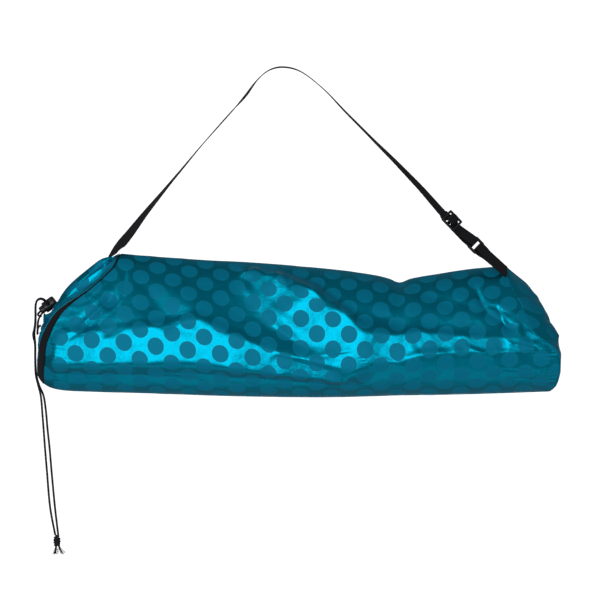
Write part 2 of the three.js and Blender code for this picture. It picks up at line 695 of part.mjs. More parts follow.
// A flat frame with slots one above another, lying in the plane of the webbing
function slottedFrame(name, middle, slots, slotHeight, thickness) {
  const slotWidth = strapWidth + 2 * railGap;
  const width = slotWidth + 2 * railWidth;
  const height = slots * slotHeight + (slots + 1) * barWidth;
  const right = width / 2 - frameCorner;
  const top = height / 2 - frameCorner;
  const outline = new THREE.Shape();
  outline.absarc(right, top, frameCorner, 0, Math.PI / 2);
  outline.absarc(-right, top, frameCorner, Math.PI / 2, Math.PI);
  outline.absarc(-right, -top, frameCorner, Math.PI, 1.5 * Math.PI);
  outline.absarc(right, -top, frameCorner, 1.5 * Math.PI, 2 * Math.PI);
  for (let i = 0; i < slots; i += 1) {
    const low = -height / 2 + barWidth + i * (slotHeight + barWidth);
    const slot = new THREE.Path();
    slot.moveTo(-slotWidth / 2, low);
    slot.lineTo(-slotWidth / 2, low + slotHeight);
    slot.lineTo(slotWidth / 2, low + slotHeight);
    slot.lineTo(slotWidth / 2, low);
    slot.closePath();
    outline.holes.push(slot);
  }
  const settings = { depth: thickness, bevelEnabled: false, curveSegments: 3 };
  const geometry = new THREE.ExtrudeGeometry(outline, settings);
  geometry.translate(0, 0, -thickness / 2);
  const mesh = new THREE.Mesh(welded(geometry), plastic);
  mesh.name = name;
  mesh.position.copy(middle);
  mesh.quaternion.setFromRotationMatrix(new THREE.Matrix4().makeBasis(strapAcross, strapDown, strapFace));
  return mesh;
}

// The same geometry with its shared vertices merged
function welded(geometry) {
  geometry.deleteAttribute("normal");
  geometry.deleteAttribute("uv");
  const merged = mergeVertices(geometry, 1e-4);
  merged.computeVertexNormals();
  return merged;
}

function toSolid(geometry) {
  const merged = welded(geometry);
  return new wasm.Manifold(new wasm.Mesh({
    numProp: 3,
    vertProperties: merged.attributes.position.array,
    triVerts: new Uint32Array(merged.index.array),
  }));
}

function solidMesh(name, solid, material) {
  const { vertProperties, triVerts } = solid.getMesh();
  return meshOf(name, Array.from(vertProperties), Array.from(triVerts), material);
}

// A turned shape along +X from rows of radius and place
function turned(profile, segments) {
  const points = profile.map(([radius, along]) => new THREE.Vector2(radius, along));
  return new THREE.LatheGeometry(points, segments).rotateZ(-Math.PI / 2);
}

// The cord lock; its origin is the middle of the cord hole, X runs to the button and Y along the cords
const lockFromHole = new THREE.Vector3(6.6, 7.4, 20);
const lockAxis = new THREE.Vector3(-0.8, 0, -0.6);
const lockCords = new THREE.Vector3(-0.243, -0.917, 0.324).normalize();
const holeFromEnd = 10;
const boreRadius = barrelDiameter / 2 - barrelWall;
const holeHalf = cordDiameter / 2 + cordClearance;

// The rounding of the lock's ends: radius is a share of the turned radius, and in how far from the
// end, also a share of that radius
const barrelRounding = [
  { radius: 0.62, in: 0 },
  { radius: 0.9, in: 0.15 },
  { radius: 1, in: 0.45 },
];
const barrelLip = [
  { radius: 1, in: 0.2 },
  { radius: 0.94, in: 0 },
];
const buttonRounding = [
  { radius: 1, in: 0.35 },
  { radius: 0.85, in: 0.1 },
  { radius: 0.45, in: 0 },
];

function cordSlot(low, high) {
  const halfWidth = cordDiameter + 2 * cordClearance;
  const slot = new THREE.Shape();
  slot.moveTo(low, -halfWidth);
  slot.lineTo(high, -halfWidth);
  slot.lineTo(high, halfWidth);
  slot.lineTo(low, halfWidth);
  slot.closePath();
  const geometry = new THREE.ExtrudeGeometry(slot, { depth: 2 * barrelDiameter, bevelEnabled: false });
  return toSolid(geometry.translate(0, 0, -barrelDiameter).rotateX(Math.PI / 2));
}

function lockBarrel() {
  const low = -holeFromEnd;
  const high = barrelLength - holeFromEnd;
  const radius = barrelDiameter / 2;
  const profile = [
    [0, low],
    ...barrelRounding.map((row) => [row.radius * radius, low + row.in * radius]),
    ...barrelLip.map((row) => [row.radius * radius, high - row.in * radius]),
    [boreRadius, high],
    [boreRadius, low + barrelEndWall],
    [0, low + barrelEndWall],
  ];
  const slot = cordSlot(-holeHalf, holeHalf);
  return solidMesh("lock_barrel", toSolid(turned(profile, 20)).subtract(slot), plastic);
}

function lockButton() {
  const back = -holeHalf - buttonWeb;
  const end = barrelLength - holeFromEnd + buttonStickOut;
  const radius = boreRadius - buttonClearance;
  const profile = [
    [0, back],
    [radius, back],
    ...buttonRounding.map((row) => [row.radius * radius, end - row.in * radius]),
    [0, end],
  ];
  const slot = cordSlot(-holeHalf, holeHalf + buttonTravel);
  return solidMesh("lock_button", toSolid(turned(profile, 16)).subtract(slot), plastic);
}

// A cord through chosen points: a tube with one step from point to point
class CordPath extends THREE.CatmullRomCurve3 {
  getPointAt(t, target) {
    return this.getPoint(t, target);
  }

  getTangentAt(t, target) {
    return this.getTangent(t, target);
  }
}

function cordTube(points) {
  const path = new CordPath(points.map((point) => new THREE.Vector3(...point)), false, "centripetal");
  const section = new THREE.Shape();
  for (let i = 0; i < 8; i += 1) {
    const angle = (i * Math.PI) / 4;
    const at = [(cordDiameter / 2) * Math.cos(angle), (cordDiameter / 2) * Math.sin(angle)];
    if (i === 0) {
      section.moveTo(...at);
    } else {
      section.lineTo(...at);
    }
  }
  section.closePath();
  return welded(new THREE.ExtrudeGeometry(section, { steps: points.length - 1, extrudePath: path }));
}

function drawcord(name, points) {
  const mesh = new THREE.Mesh(cordTube(points), cordWeave);
  mesh.name = name;
  return mesh;
}

// The knot on both ends, with its two short tips
const knotMiddle = new THREE.Vector3(17.1, 0, -280);
const knotProfile = [
  { radius: 0, along: -0.5 },
  { radius: 0.5, along: -0.48 },
  { radius: 0.88, along: -0.36 },
  { radius: 1, along: -0.2 },
  { radius: 0.82, along: 0 },
  { radius: 1, along: 0.2 },
  { radius: 0.88, along: 0.36 },
  { radius: 0.5, along: 0.48 },
  { radius: 0, along: 0.5 },
];

// A tip's way out of the knot: aside is a share of how far it ends aside, inKnot of the knot's half
// length and out of the tip's length
const tipWay = [
  { aside: 0.18, inKnot: 0.4, out: 0 },
  { aside: 0.36, inKnot: 1, out: 0 },
  { aside: 0.57, inKnot: 1, out: 0.5 },
  { aside: 1, inKnot: 1, out: 1 },
];
const tips = [
  { aside: -2.8, forward: -1.2 },
  { aside: 7, forward: 1.2 },
];

function cordKnot() {
  const profile = knotProfile.map((row) => [(row.radius * knotDiameter) / 2, row.along * knotLength]);
  const lump = turned(profile, 12).rotateY(Math.PI / 2).translate(...knotMiddle.toArray());
  const solids = tips.map((tip) => toSolid(cordTube(tipWay.map((row) => [
    knotMiddle.x + row.aside * tip.aside,
    tip.forward,
    knotMiddle.z - (row.inKnot * knotLength) / 2 - row.out * tipLength,
  ]))));
  return solidMesh("cord_knot", solids.reduce((sum, tip) => sum.add(tip), toSolid(lump)), cordWeave);
}

const bag = new THREE.Group();
bag.add(bodyPanel());
bag.add(basePanel());
bag.add(mouthBand());
bag.add(mouthCollar());

const lock = new THREE.Group();
lock.add(lockBarrel());
lock.add(lockButton());
lock.position.copy(lockFromHole);
lock.quaternion.setFromRotationMatrix(
  new THREE.Matrix4().makeBasis(lockAxis, lockCords, lockAxis.clone().cross(lockCords)),
);

const closure = new THREE.Group();
closure.add(lock);
closure.add(drawcord("drawcord_front", frontCordPoints));
closure.add(drawcord("drawcord_back", backCordPoints));
closure.add(cordKnot());
closure.position.set(holeX, 0, holeHeight);
bag.add(closure);

bag.add(shoulderStrap());
bag.add(strapTab());
bag.add(slottedFrame("strap_ring", ringMiddle, 1, ringSlot, barWidth));
bag.add(slottedFrame("strap_slider", sliderMiddle, 2, sliderSlot, barThickness));
bag.position.set(-(foot.x + crownAlong * span), 0, strapThickness / 2 - (foot.z + strapRise));

const model = new THREE.Group();
model.add(bag);
export default model;
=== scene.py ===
"""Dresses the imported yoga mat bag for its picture: satin, ribbon, webbing, cord and moulded plastic.

The bag hangs by its strap. Everything is in metres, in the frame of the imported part: +X runs from the
gathered mouth to the base, +Z is up and the front faces -Y. The origin is the underside of the strap at
its crown. The cloth follows the same named sizes and tables as the part, with finer folds on top.
"""

import json
import logging
import math
from dataclasses import dataclass
from enum import Enum
from typing import Callable, Sequence

import bmesh
import bpy
import numpy as np
from mathutils import Matrix, Vector

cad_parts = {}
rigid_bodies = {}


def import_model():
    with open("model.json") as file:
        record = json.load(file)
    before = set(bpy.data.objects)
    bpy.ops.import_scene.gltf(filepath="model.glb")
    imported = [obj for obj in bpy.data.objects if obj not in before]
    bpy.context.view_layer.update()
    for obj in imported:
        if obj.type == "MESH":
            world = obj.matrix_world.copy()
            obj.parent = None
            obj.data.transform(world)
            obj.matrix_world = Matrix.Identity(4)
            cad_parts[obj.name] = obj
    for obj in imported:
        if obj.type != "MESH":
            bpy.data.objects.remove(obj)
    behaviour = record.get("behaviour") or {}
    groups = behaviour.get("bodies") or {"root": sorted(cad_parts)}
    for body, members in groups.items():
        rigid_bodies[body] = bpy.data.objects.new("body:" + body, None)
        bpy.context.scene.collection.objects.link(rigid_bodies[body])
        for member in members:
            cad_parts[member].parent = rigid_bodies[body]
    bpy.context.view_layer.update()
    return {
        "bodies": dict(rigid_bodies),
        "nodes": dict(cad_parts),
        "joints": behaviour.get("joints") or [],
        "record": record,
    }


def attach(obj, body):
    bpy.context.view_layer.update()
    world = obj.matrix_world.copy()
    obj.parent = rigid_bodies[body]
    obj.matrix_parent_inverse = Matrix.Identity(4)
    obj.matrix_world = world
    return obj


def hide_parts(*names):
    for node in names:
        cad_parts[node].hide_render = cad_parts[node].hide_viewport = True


LOG = logging.getLogger("yoga_mat_bag")

Table = dict[str, np.ndarray]
Surface = Callable[[np.ndarray, np.ndarray], np.ndarray]


class Slot(Enum):
    """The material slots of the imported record."""

    SATIN = "dotted_satin"
    RIBBON = "black_ribbon"
    WEBBING = "black_webbing"
    HARDWARE = "hardware_plastic"
    LOCK = "lock_plastic"
    CORD = "black_cord"


class BodyName(Enum):
    """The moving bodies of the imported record."""

    BAG = "bag"
    BUTTON = "button"


def table(columns: str, *rows: Sequence[float]) -> Table:
    """Makes a table with named columns.

    Args:
        columns: The names of the columns, with spaces between them.
        rows: One row of numbers each.

    Returns:
        An array for each column, by name.
    """
    names = columns.split()
    return {name: np.array([row[i] for row in rows], float) for i, name in enumerate(names)}


def through(rows: Table, at: str, value: str) -> Callable[[np.ndarray], np.ndarray]:
    """Makes a smooth curve through the rows of a table.

    Args:
        rows: The table.
        at: The column that the curve is a function of, in rising order.
        value: The column that it gives.

    Returns:
        The curve, for single values and for arrays.
    """
    xs, ys = rows[at], rows[value]
    last = len(xs) - 1
    before = np.maximum(np.arange(last + 1) - 1, 0)
    after = np.minimum(np.arange(last + 1) + 1, last)
    slopes = (ys[after] - ys[before]) / (xs[after] - xs[before])

    def curve(where: np.ndarray) -> np.ndarray:
        x = np.clip(np.asarray(where, float), xs[0], xs[-1])
        i = np.clip(np.searchsorted(xs, x, side="left") - 1, 0, last - 1)
        step = xs[i + 1] - xs[i]
        t = (x - xs[i]) / step
        eased = t * t * (3 - 2 * t)
        bend = step * t * (1 - t) * ((1 - t) * slopes[i] - t * slopes[i + 1])
        return ys[i] * (1 - eased) + ys[i + 1] * eased + bend

    return curve


def smoothstep(value: np.ndarray, low: float, high: float) -> np.ndarray:
    """Eases from 0 at low to 1 at high."""
    t = np.clip((value - low) / (high - low), 0, 1)
    return t * t * (3 - 2 * t)


def unit(vectors: np.ndarray) -> np.ndarray:
    """Gives the vectors along the last axis a length of one."""
    return vectors / np.maximum(np.linalg.norm(vectors, axis=-1, keepdims=True), 1e-12)


def normals(surface: Surface, u: np.ndarray, v: np.ndarray, step: float = 0.004) -> np.ndarray:
    """Works out the outward normals of a surface that is a function of two values."""
    du = surface(u + step, v) - surface(u - step, v)
    dv = surface(u, v + step) - surface(u, v - step)
    return unit(np.cross(du, dv))


# The place of the lowest point of the mouth, from which the bag's own sizes are measured
MOUTH_LOW = np.array([-0.292523, 0.0, -0.414552])


@dataclass(frozen=True)
class BagSize:
    """The driving sizes of the cloth, in metres, as in the part."""

    length: float = 0.650
    height: float = 0.170
    depth: float = 0.126
    wall: float = 0.0015
    mouth_slant: float = 0.094
    base_slant: float = 0.065
    fold_lift: float = 0.010
    seam_gap: float = 0.00055
    band_width: float = 0.008
    band_proud: float = 0.0006
    hole_radius: float = 0.0055
    hole_height: float = 0.094
    neck_inset: float = 0.003
    collar_puff: float = 0.010
    frill_length: float = 0.0045
    frill_flare: float = 0.0015
    gathers: int = 16
    gather_depth: float = 0.0014
    belly: float = 0.36
    underside: float = 1.11
    puff_below: float = 0.25
    flush_rows: float = 0.6


SIZE = BagSize()

TOP_LINE = table(
    "along height",
    (-0.03, 1.02), (0.08, 1.03), (0.142, 1.05), (0.19, 1.038), (0.3, 1.008), (0.43, 0.98),
    (0.56, 0.937), (0.635, 0.9), (0.672, 0.868), (0.693, 0.838), (0.715, 0.866), (0.76, 0.897),
    (0.84, 0.942), (0.91, 0.957), (1, 0.95),
)
UNDER_LINE = table(
    "along height",
    (-0.03, 0.23), (-0.0125, 0.135), (0, 0.075), (0.025, 0.037), (0.07, 0.022), (0.2, 0.008),
    (0.37, -0.014), (0.55, -0.022), (0.7, -0.008), (0.82, 0), (0.92, 0.012), (0.985, 0.022),
    (1.03, 0.03),
)
GIRTH = table(
    "along depth ridge",
    (-0.03, 0.68, 1.7), (0.02, 0.72, 1.7), (0.14, 0.88, 1.6), (0.4, 1, 1.4), (0.75, 1, 1.35),
    (0.95, 0.94, 1.7), (1.03, 0.9, 1.7),
)
MOUTH_SEAM = table(
    "up back",
    (0, 0), (0.1, 0.008), (0.18, 0.026), (0.32, 0.056), (0.43, 0.115), (0.56, 0.235),
    (0.64, 0.365), (0.77, 0.67), (0.885, 0.92), (0.96, 1), (1, 1.02),
)
BASE_SEAM = table(
    "up back bulge",
    (0, 0.157, 0), (0.04, 0.07, 0.03), (0.1, 0.02, 0.04), (0.2, 0, 0.04), (0.3, 0.03, 0.06),
    (0.36, 0.12, 0.13), (0.41, 0.3, 0.3), (0.48, 0.52, 0.49), (0.56, 0.65, 0.53),
    (0.68, 0.72, 0.45), (0.78, 0.86, 0.46), (0.88, 0.94, 0.45), (0.97, 0.98, 0.28),
    (1, 1, 0.15),
)
COLLAR_PROFILE = table(
    "row to_hole puff gather out",
    (0, 0, 0, 0.1, 0), (1, 0.15, 0.6, 0.4, 0), (2, 0.36, 0.74, 0.7, 0), (3, 0.56, 0.7, 0.95, 0),
    (4, 0.7, 0.38, 1, 0), (5, 0.81, 0, 0.85, 0), (6, 0.95, -0.04, 0.5, 0), (7, 1, 0, 0.4, 0.3),
    (8, 1, 0, 0.7, 1),
)
PUFF_DIRECTION = np.array([-0.87, 0.0, 0.5])

# The broad folds of the part, one of them calmer here. x and z are shares of the body's length and
# height, width is a share of its height and lift a share of the fold lift, below zero for a dent
FRONT_FOLDS = table(
    "x z to_x to_z width lift",
    (0.03, 0.36, 0.3, 0.31, 0.13, 0.45), (0.3, 0.31, 0.6, 0.2, 0.12, 0.5),
    (0.03, 0.16, 0.55, 0.1, 0.05, -0.25), (0.39, 0.9, 0.5, 0.69, 0.1, 0.55),
    (0.5, 0.69, 0.64, 0.42, 0.17, 0.85), (0.64, 0.42, 0.75, 0.34, 0.15, 0.75),
    (0.75, 0.34, 0.93, 0.39, 0.1, 0.5), (0.36, 0.68, 0.44, 0.5, 0.13, -0.65),
    (0.44, 0.5, 0.54, 0.33, 0.11, -0.6), (0.5, 0.85, 0.6, 0.6, 0.08, -0.5),
    (0.6, 0.6, 0.7, 0.52, 0.08, -0.65), (0.7, 0.52, 0.97, 0.49, 0.07, -0.2),
    (0.69, 0.86, 0.8, 0.66, 0.06, -0.4), (0.14, 0.93, 0.13, 0.66, 0.05, -0.4),
    (0.14, 0.74, 0.07, 0.45, 0.05, -0.4), (0.2, 0.73, 0.29, 0.45, 0.1, -0.4),
    (0.24, 0.8, 0.33, 0.55, 0.1, 0.35),
)
BACK_FOLDS = table(
    "x z to_x to_z width lift",
    (0.08, 0.4, 0.45, 0.33, 0.14, 0.4), (0.2, 0.92, 0.46, 0.5, 0.12, -0.5),
    (0.35, 0.95, 0.62, 0.45, 0.14, 0.6), (0.62, 0.45, 0.92, 0.34, 0.12, 0.5),
    (0.68, 0.84, 0.82, 0.5, 0.1, -0.5), (0.9, 0.9, 0.8, 0.6, 0.08, 0.35),
)

# The sharp creases that catch the light, in the same shares. steep is how much narrower the upper
# side of the crease is than its lower side
FRONT_CREASES = table(
    "x z to_x to_z width lift steep",
    (0.38, 0.8, 0.44, 0.56, 0.12, -0.4, 0.6), (0.44, 0.56, 0.5, 0.36, 0.1, -0.4, 0.6),
    (0.4, 0.9, 0.43, 0.78, 0.03, 0.14, 0.6), (0.41, 0.8, 0.47, 0.58, 0.028, 0.1, 0.5),
    (0.703, 0.807, 0.775, 0.752, 0.016, 0.1, 0.5), (0.85, 0.695, 0.91, 0.597, 0.02, -0.16, 0.5),
    (0.835, 0.84, 0.85, 0.7, 0.03, -0.14, 0.6), (0.8, 0.7, 0.86, 0.62, 0.04, -0.16, 0.6),
    (0.817, 0.366, 0.875, 0.284, 0.02, 0.14, 0.6), (0.9, 0.388, 0.955, 0.343, 0.018, 0.14, 0.5),
    (0.92, 0.7, 0.925, 0.44, 0.035, 0.5, 0.7), (0.84, 0.8, 0.86, 0.62, 0.04, -0.45, 0.7),
    (0.86, 0.62, 0.91, 0.5, 0.035, -0.35, 0.6), (0.88, 0.66, 0.9, 0.5, 0.03, -0.3, 0.6),
    (0.945, 0.44, 0.965, 0.52, 0.02, 0.35, 0.6), (0.9, 0.9, 0.92, 0.74, 0.03, 0.3, 0.5),
    (0.893, 0.179, 0.99, 0.149, 0.01, 0.08, 0.6), (0.88, 0.21, 0.985, 0.2, 0.01, 0.08, 0.6),
    (0.9, 0.13, 0.985, 0.11, 0.01, -0.08, 0.6), (0.131, 0.73, 0.07, 0.5, 0.035, -0.34, 0.5),
    (0.1, 0.52, 0.05, 0.42, 0.03, -0.2, 0.6), (0.127, 0.85, 0.09, 0.7, 0.03, -0.3, 0.5),
    (0.16, 0.95, 0.155, 0.72, 0.03, -0.3, 0.5), (0.16, 0.52, 0.12, 0.44, 0.035, -0.24, 0.5),
    (0.2, 0.82, 0.23, 0.66, 0.05, -0.16, 0.6), (0.05, 0.2, 0.35, 0.13, 0.02, 0.08, 0.6),
    (0.3, 0.12, 0.62, 0.05, 0.02, 0.08, 0.6), (0.24, 0.56, 0.3, 0.47, 0.06, -0.16, 0.6),
    (0.32, 0.92, 0.37, 0.72, 0.035, 0.08, 0.6), (0.58, 0.88, 0.66, 0.78, 0.03, 0.08, 0.6),
    (0.62, 0.33, 0.7, 0.22, 0.03, 0.08, 0.6),
)
# The two stretches of the front that the pull of the strap draws flat, from left to right. up and down
# are half widths as shares of the body's height, forward is how far forward the flat lies as a share of
# half the body's depth, and tilt is how far it leans back, in degrees
FRONT_FLATS = (
    table(
        "x z up down forward tilt",
        (0.01, 0.34, 0.14, 0.15, 0.78, -2), (0.107, 0.355, 0.145, 0.17, 0.89, -2),
        (0.205, 0.37, 0.17, 0.17, 0.98, -2), (0.293, 0.38, 0.22, 0.17, 1.02, -2),
        (0.371, 0.31, 0.165, 0.14, 1.04, -3), (0.459, 0.222, 0.08, 0.09, 0.99, -6),
        (0.582, 0.142, 0.05, 0.052, 0.88, -8),
    ),
    table(
        "x z up down forward tilt",
        (0.41, 0.9, 0.05, 0.1, 0.52, 3), (0.45, 0.82, 0.1, 0.16, 0.74, 0),
        (0.504, 0.68, 0.165, 0.17, 0.9, -5), (0.565, 0.48, 0.18, 0.2, 1.01, -6),
        (0.605, 0.325, 0.165, 0.19, 1.07, -6), (0.662, 0.351, 0.1, 0.12, 1.05, -3),
        (0.733, 0.405, 0.085, 0.08, 1.04, 0), (0.811, 0.4, 0.06, 0.065, 1.03, 0),
        (0.889, 0.381, 0.04, 0.05, 1.0, 0), (0.977, 0.358, 0.03, 0.037, 0.95, 0),
    ),
)
BACK_CREASES = table(
    "x z to_x to_z width lift steep",
    (0.12, 0.8, 0.08, 0.5, 0.02, 0.18, 0.6), (0.2, 0.9, 0.24, 0.62, 0.03, 0.16, 0.6),
    (0.36, 0.93, 0.46, 0.66, 0.035, 0.24, 0.5), (0.48, 0.66, 0.62, 0.46, 0.04, 0.24, 0.5),
    (0.62, 0.46, 0.8, 0.36, 0.03, 0.2, 0.5), (0.7, 0.86, 0.8, 0.62, 0.025, 0.2, 0.5),
    (0.88, 0.88, 0.9, 0.6, 0.025, 0.2, 0.6), (0.9, 0.4, 0.97, 0.33, 0.02, 0.2, 0.6),
    (0.1, 0.3, 0.4, 0.24, 0.025, 0.16, 0.6), (0.5, 0.2, 0.85, 0.16, 0.025, 0.14, 0.6),
)


@dataclass(frozen=True)
class Crumple:
    """The small random creases of the cloth, in metres."""

    seed: int = 11
    count: int = 150
    shortest: float = 0.018
    longest: float = 0.06
    narrowest: float = 0.004
    widest: float = 0.011
    lift: float = 0.0005
    slant: float = -0.6
    spread: float = 0.7


class BagSurface:
    """The surfaces of the bag's cloth, worked out as in the part and placed in its frame."""

    flat_blend = 0.006

    def __init__(self, size: BagSize, crumple: Crumple) -> None:
        """Sets up the curves through the tables.

        Args:
            size: The driving sizes.
            crumple: The random creases.
        """
        self.size = size
        self.crumple = crumple
        self.top = through(TOP_LINE, "along", "height")
        self.under = through(UNDER_LINE, "along", "height")
        self.girth = through(GIRTH, "along", "depth")
        self.ridge = through(GIRTH, "along", "ridge")
        self.mouth_back = through(MOUTH_SEAM, "up", "back")
        self.base_back = through(BASE_SEAM, "up", "back")
        self.base_bulge = through(BASE_SEAM, "up", "bulge")
        self.to_hole = through(COLLAR_PROFILE, "row", "to_hole")
        self.puff = through(COLLAR_PROFILE, "row", "puff")
        self.gather = through(COLLAR_PROFILE, "row", "gather")
        self.out = through(COLLAR_PROFILE, "row", "out")
        self._measure_cloth()
        self._scatter_creases()

    def up_at(self, angle: np.ndarray) -> np.ndarray:
        """Gives the height share at an angle of the loop, 0 at the underside, a quarter turn in front."""
        cosine = np.cos(angle)
        height = np.abs(cosine)
        below = self.size.belly * (1 - height**self.size.underside)
        above = self.size.belly + (1 - self.size.belly) * height
        return np.where(cosine > 0, below, above)

    def height_at(self, share: np.ndarray, up: np.ndarray) -> np.ndarray:
        """Gives the height at a share of the length and of the height."""
        low, high = self.under(share), self.top(share)
        return self.size.height * (low + (high - low) * up)

    def loop_point(self, x: np.ndarray, angle: np.ndarray) -> np.ndarray:
        """Gives the points of the smooth cloth loop at a distance along the body."""
        x, angle = np.broadcast_arrays(np.asarray(x, float), np.asarray(angle, float))
        share = x / self.size.length
        side = np.sin(angle)
        power = np.where(np.cos(angle) > 0, self.size.underside, self.ridge(share))
        half = self.size.depth / 2 * self.girth(share) * np.abs(side) ** power
        return np.stack([x, -np.sign(side) * half, self.height_at(share, self.up_at(angle))], -1)

    def mouth_x(self, angle: np.ndarray) -> np.ndarray:
        """Gives where the mouth seam is along the body."""
        return self.size.mouth_slant * self.mouth_back(self.up_at(angle))

    def base_x(self, angle: np.ndarray) -> np.ndarray:
        """Gives where the base seam is along the body."""
        return self.size.length - self.size.base_slant * self.base_back(self.up_at(angle))

    def smooth_body(self, along: np.ndarray, angle: np.ndarray) -> np.ndarray:
        """Gives the body without folds, from the mouth seam to the base seam."""
        start = self.mouth_x(angle)
        end = self.base_x(angle) + self.size.seam_gap
        return self.loop_point(start + (end - start) * along, angle)

    def _fold(self, rows: Table, row: int, point: np.ndarray) -> tuple[np.ndarray, np.ndarray]:
        """Gives how far a point is aside of a fold, in fold widths, and how much of the fold is there."""
        size = self.size
        start = np.array([rows["x"][row] * size.length, rows["z"][row] * size.height])
        run = np.array([rows["to_x"][row] * size.length, rows["to_z"][row] * size.height]) - start
        width = rows["width"][row] * size.height
        length = float(np.hypot(*run))
        dx, dz = point[..., 0] - start[0], point[..., 2] - start[1]
        at = (dx * run[0] + dz * run[1]) / length
        aside = (dx * run[1] - dz * run[0]) / length
        fade_in = smoothstep(at, -width, width)
        fade_out = 1 - smoothstep(at, length - width, length + width)
        return aside / width, fade_in * fade_out

    def broad_folds(self, point: np.ndarray, rows: Table) -> np.ndarray:
        """Adds up the broad folds of one side."""
        total = np.zeros(point.shape[:-1])
        for row, lift in enumerate(rows["lift"]):
            aside, there = self._fold(rows, row, point)
            total += self.size.fold_lift * lift * there * np.exp(-(aside**2))
        return total

    def creases(self, point: np.ndarray, rows: Table) -> np.ndarray:
        """Adds up the sharp creases of one side, steeper above than below."""
        total = np.zeros(point.shape[:-1])
        for row, lift in enumerate(rows["lift"]):
            aside, there = self._fold(rows, row, point)
            uneven = np.where(aside < 0, aside / rows["steep"][row], aside)
            rounded = np.sqrt(uneven**2 + 0.05) - math.sqrt(0.05)
            total += self.size.fold_lift * lift * there * np.exp(-1.3 * rounded)
        return total

    def drawn_flat(self, point: np.ndarray, rows: Table) -> tuple[np.ndarray, np.ndarray]:
        """Works out a stretch of cloth that is drawn flat.

        Args:
            point: Points of the body.
            rows: The line along the middle of the flat, with its widths, place and tilt.

        Returns:
            Where the flat lies along Y, and how much of it is at each point, from 0 to 1.
        """
        size = self.size
        spots = np.stack([rows["x"] * size.length, rows["z"] * size.height], -1)
        place = point[..., [0, 2]]
        far, lies, there = [], [], []
        for i, (start, run) in enumerate(zip(spots, np.diff(spots, axis=0))):
            at = np.clip((place - start) @ run / (run @ run), 0, 1)
            away = place - start - at[..., None] * run
            above = run[0] * away[..., 1] - run[1] * away[..., 0] >= 0
            distance = np.linalg.norm(away, axis=-1)
            up, down, forward, tilt = (
                rows[name][i] + (rows[name][i + 1] - rows[name][i]) * at
                for name in ("up", "down", "forward", "tilt")
            )
            lean = np.where(above, distance, -distance) * np.tan(np.radians(tilt))
            far.append(distance)
            lies.append(lean - forward * size.depth / 2)
            crisp = 1 - smoothstep(distance / (up * size.height), 0.8, 1.15)
            gentle = 1 - smoothstep(distance / (down * size.height), 0.6, 1.3)
            there.append(np.where(above, crisp, gentle))
        share = np.exp((np.min(far, axis=0) - np.array(far)) / self.flat_blend)
        total = share.sum(axis=0)
        return (share * lies).sum(axis=0) / total, (share * there).sum(axis=0) / total

    def _measure_cloth(self) -> None:
        """Measures the cloth round the loop, so that its weave and dots lie on it undistorted."""
        self.cloth_x = np.linspace(-0.02, self.size.length + 0.02, 90)
        self.cloth_angle = np.linspace(0, 2 * math.pi, 721)
        points = self.loop_point(self.cloth_x[:, None], self.cloth_angle[None, :])
        steps = np.linalg.norm(np.diff(points, axis=1), axis=-1)
        length = np.concatenate([np.zeros((len(self.cloth_x), 1)), np.cumsum(steps, axis=1)], axis=1)
        front = np.argmin(np.abs(self.cloth_angle - math.pi / 2))
        self.cloth_around = length - length[:, front : front + 1]

    def cloth_at(self, x: np.ndarray, angle: np.ndarray) -> np.ndarray:
        """Gives the distance round the cloth from the front of the belly.

        Args:
            x: Distances along the body.
            angle: Angles of the loop, from 0 to a full turn.

        Returns:
            The distances, above zero towards the top.
        """
        column = np.clip((x - self.cloth_x[0]) / (self.cloth_x[1] - self.cloth_x[0]), 0, len(self.cloth_x) - 1.001)
        row = np.clip(angle / (self.cloth_angle[1] - self.cloth_angle[0]), 0, len(self.cloth_angle) - 1.001)
        i, j = column.astype(int), row.astype(int)
        a, b = column - i, row - j
        grid = self.cloth_around
        low = grid[i, j] * (1 - b) + grid[i, j + 1] * b
        high = grid[i + 1, j] * (1 - b) + grid[i + 1, j + 1] * b
        return low * (1 - a) + high * a

    def _scatter_creases(self) -> None:
        """Chooses the small random creases, mostly along the slant of the pull of the strap."""
        crumple = self.crumple
        rng = np.random.default_rng(crumple.seed)
        count = crumple.count
        lowest, highest = self.cloth_around.min(), self.cloth_around.max()
        self.crease_start = np.stack(
            [rng.uniform(0.03, 0.96, count) * self.size.length, rng.uniform(lowest, highest, count)], -1
        )
        slant = crumple.slant + crumple.spread * rng.normal(size=count)
        near_seam = np.minimum(self.crease_start[:, 0], self.size.length - self.crease_start[:, 0]) < 0.07
        slant = np.where(near_seam, 0.35 * slant, slant)
        self.crease_run = np.stack([np.cos(slant), np.sin(slant)], -1)
        self.crease_length = rng.uniform(crumple.shortest, crumple.longest, count)
        self.crease_width = rng.uniform(crumple.narrowest, crumple.widest, count)
        self.crease_lift = crumple.lift * rng.choice([-0.7, 1], count) * rng.uniform(0.4, 1.2, count)

    def crumples(self, x: np.ndarray, around: np.ndarray) -> np.ndarray:
        """Adds up the small random creases."""
        total = np.zeros(x.shape)
        for start, run, length, width, lift in zip(
            self.crease_start, self.crease_run, self.crease_length, self.crease_width, self.crease_lift
        ):
            dx, dv = x - start[0], around - start[1]
            at = dx * run[0] + dv * run[1]
            aside = (dv * run[0] - dx * run[1]) / width
            there = np.clip(1 - ((at - length / 2) / (length / 2)) ** 2, 0, 1) ** 1.5
            rounded = np.sqrt(np.where(aside > 0, 1.8 * aside, aside) ** 2 + 0.1) - math.sqrt(0.1)
            total += lift * there * np.exp(-1.4 * rounded)
        return total

